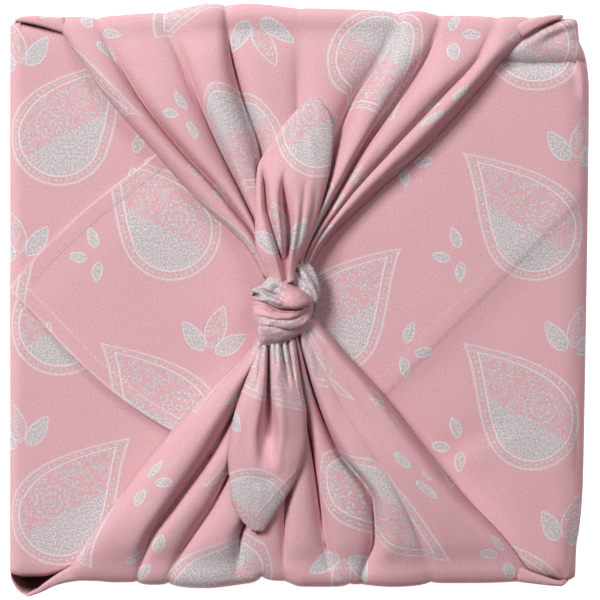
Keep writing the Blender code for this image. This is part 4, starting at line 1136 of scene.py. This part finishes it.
def make_cloth_material():
    """Woven pink cotton with a worn silver print, stitched hems with a painted highlight along
    their folded edges, and layers that show through.
    """
    material, tree, shader = new_material("printed_cotton", {**FINISH, "Sheen Tint": tinted(SHEEN)})
    u, v = read_layer(tree, "Print")
    hems, under = read_layer(tree, "Hem"), read_layer(tree, "Under")[0]
    ink, bright = drop_print(tree, u, v)
    speckle, slub, blotch = (
        Formula(tree, texture(tree, "Noise", u, v, look).outputs[0]) for look in NOISES)
    worn = speckle.above(0.40, 0.10)

    ground = mix(tree, blotch, tinted(GROUND[0]), tinted(GROUND[1]))
    ground = mix(tree, (slub - 0.30).clamped(2.4), tinted(GROUND[2]), ground)
    dull = (slub - 0.30).clamped(2.6) * 0.4 + (speckle - 0.36).clamped(3.4) * 0.6
    silver = mix(tree, dull, tinted(SILVER[0]), tinted(SILVER[1]))
    silver = mix(tree, bright * 0.7, silver, tinted(SILVER[2]))
    colour = mix(tree, ink * (worn * 0.45 + 0.55), ground, silver)
    dashes = (u / STITCH_PITCH).fract().within(0.0, 0.78, 0.1)
    first, second = (hem.within(HEM_WIDTH - 0.3, HEM_WIDTH + 0.3) for hem in hems)
    stitch = first.most(second) * dashes
    hem_gap = hems[0].least(hems[1])
    # painted highlight: the colour is lightened within 0.9 mm of a hem's folded edge, towards the
    # stitches' colour
    painted_edge_highlight = hem_gap.below(0.9, 0.6)
    colour = mix(tree, (stitch * 0.8).most(painted_edge_highlight * 0.5), colour, tinted(STITCH_AND_EDGE_HIGHLIGHT))

    warp, weft = ((flat * (2.0 * math.pi / YARN)).sine() for flat in (u, v))
    weave = warp * weft * 0.5 + speckle * ink * 0.8 + stitch * 3.0
    layered = hem_gap.below(HEM_WIDTH, 1.6) * 0.12
    layered = layered + (-under).shows(2.6) * 0.3 - (-(under + 8.0)).shows(1.6) * 0.1
    normal = bumps(tree, ((weave, 0.35, WEAVE_DEPTH * MM), (layered, 1.0, MM)))
    give(tree, shader, {"Base Color": colour, "Roughness": ink * -0.35 + 0.85, **normal})
    return material


def make_board_material():
    """Plain board with a fine fibre."""
    material, tree, shader = new_material("plain_board", {"Roughness": 0.85})
    place = add_node(tree, "TexCoord", {})
    fibre = add_node(tree, "TexNoise", {"Vector": place.outputs["Object"], "Scale": FIBRE_SCALE})
    ramp = add_node(tree, "ValToRGB", {0: fibre.outputs[0]})
    for element, tone in zip(ramp.color_ramp.elements, BOARD):
        element.color = tinted(tone)
    give(tree, shader, {"Base Color": ramp.outputs[0]})
    return material


cloth.data.materials.clear()
cloth.data.materials.append(make_cloth_material())
board = make_board_material()
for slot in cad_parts["gift_box"].material_slots:
    slot.material = board

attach(cloth, "root")
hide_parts("furoshiki_cloth")


# -------- floor, lights, camera
FLOOR_HALF = 9.0        # m
FLOOR_LOOK = {
    "Base Color": (0.5, 0.51, 0.51, 1.0), "Roughness": 0.9,
    "Emission Color": (1.0, 1.0, 1.0, 1.0), "Emission Strength": 0.95,
}
CAMERA_PLACE, CAMERA_LENS = (0.0, -0.0005, 1.06), 120.0
LIGHTS = (  # name, place, power, colour
    ("key", (-1.40, 1.02, 2.05), 65.5, (0.985, 1.0, 0.99)),
    ("second", (1.00, 1.35, 1.90), 16.5, (0.97, 1.0, 1.0)),
)
LIGHT_SIZE, LIGHT_AIM = 0.9, (0.0, 0.0, 0.05)
SURROUND, SURROUND_STRENGTH = (1.0, 0.42, 0.49, 1.0), 0.10
DISPLAY_GAMMA = 0.87    # below 1 for the photo's deeper contrast


def add_floor():
    """A wide pale floor that is bright of itself, as in the photo."""
    data = bpy.data.meshes.new("floor")
    work = bmesh.new()
    bmesh.ops.create_grid(work, x_segments=1, y_segments=1, size=FLOOR_HALF)
    work.to_mesh(data)
    work.free()
    data.materials.append(new_material("pale_floor", FLOOR_LOOK)[0])
    floor = add_object("floor", data)


def add_area_light(name, place, power, colour):
    """A square light aimed at the wrap."""
    data = bpy.data.lights.new(name, "AREA")
    data.shape, data.size, data.energy, data.color = "SQUARE", LIGHT_SIZE, power, colour
    light = add_object(name, data)
    light.location = place
    light.rotation_euler = (Vector(LIGHT_AIM) - Vector(place)).to_track_quat("-Z", "Y").to_euler()


def add_camera():
    """The photo's camera, straight above."""
    data = bpy.data.cameras.new("camera")
    data.lens, data.sensor_width = CAMERA_LENS, 36.0
    camera = add_object("camera", data)
    camera.location = CAMERA_PLACE
    bpy.context.scene.camera = camera


add_floor()
for row in LIGHTS:
    add_area_light(*row)
add_camera()
world = bpy.data.worlds.new("studio")
world.use_nodes = True
world.node_tree.nodes["Background"].inputs[0].default_value = SURROUND
world.node_tree.nodes["Background"].inputs[1].default_value = SURROUND_STRENGTH
bpy.context.scene.world = world
bpy.context.scene.view_settings.view_transform = "Standard"
bpy.context.scene.view_settings.gamma = DISPLAY_GAMMA
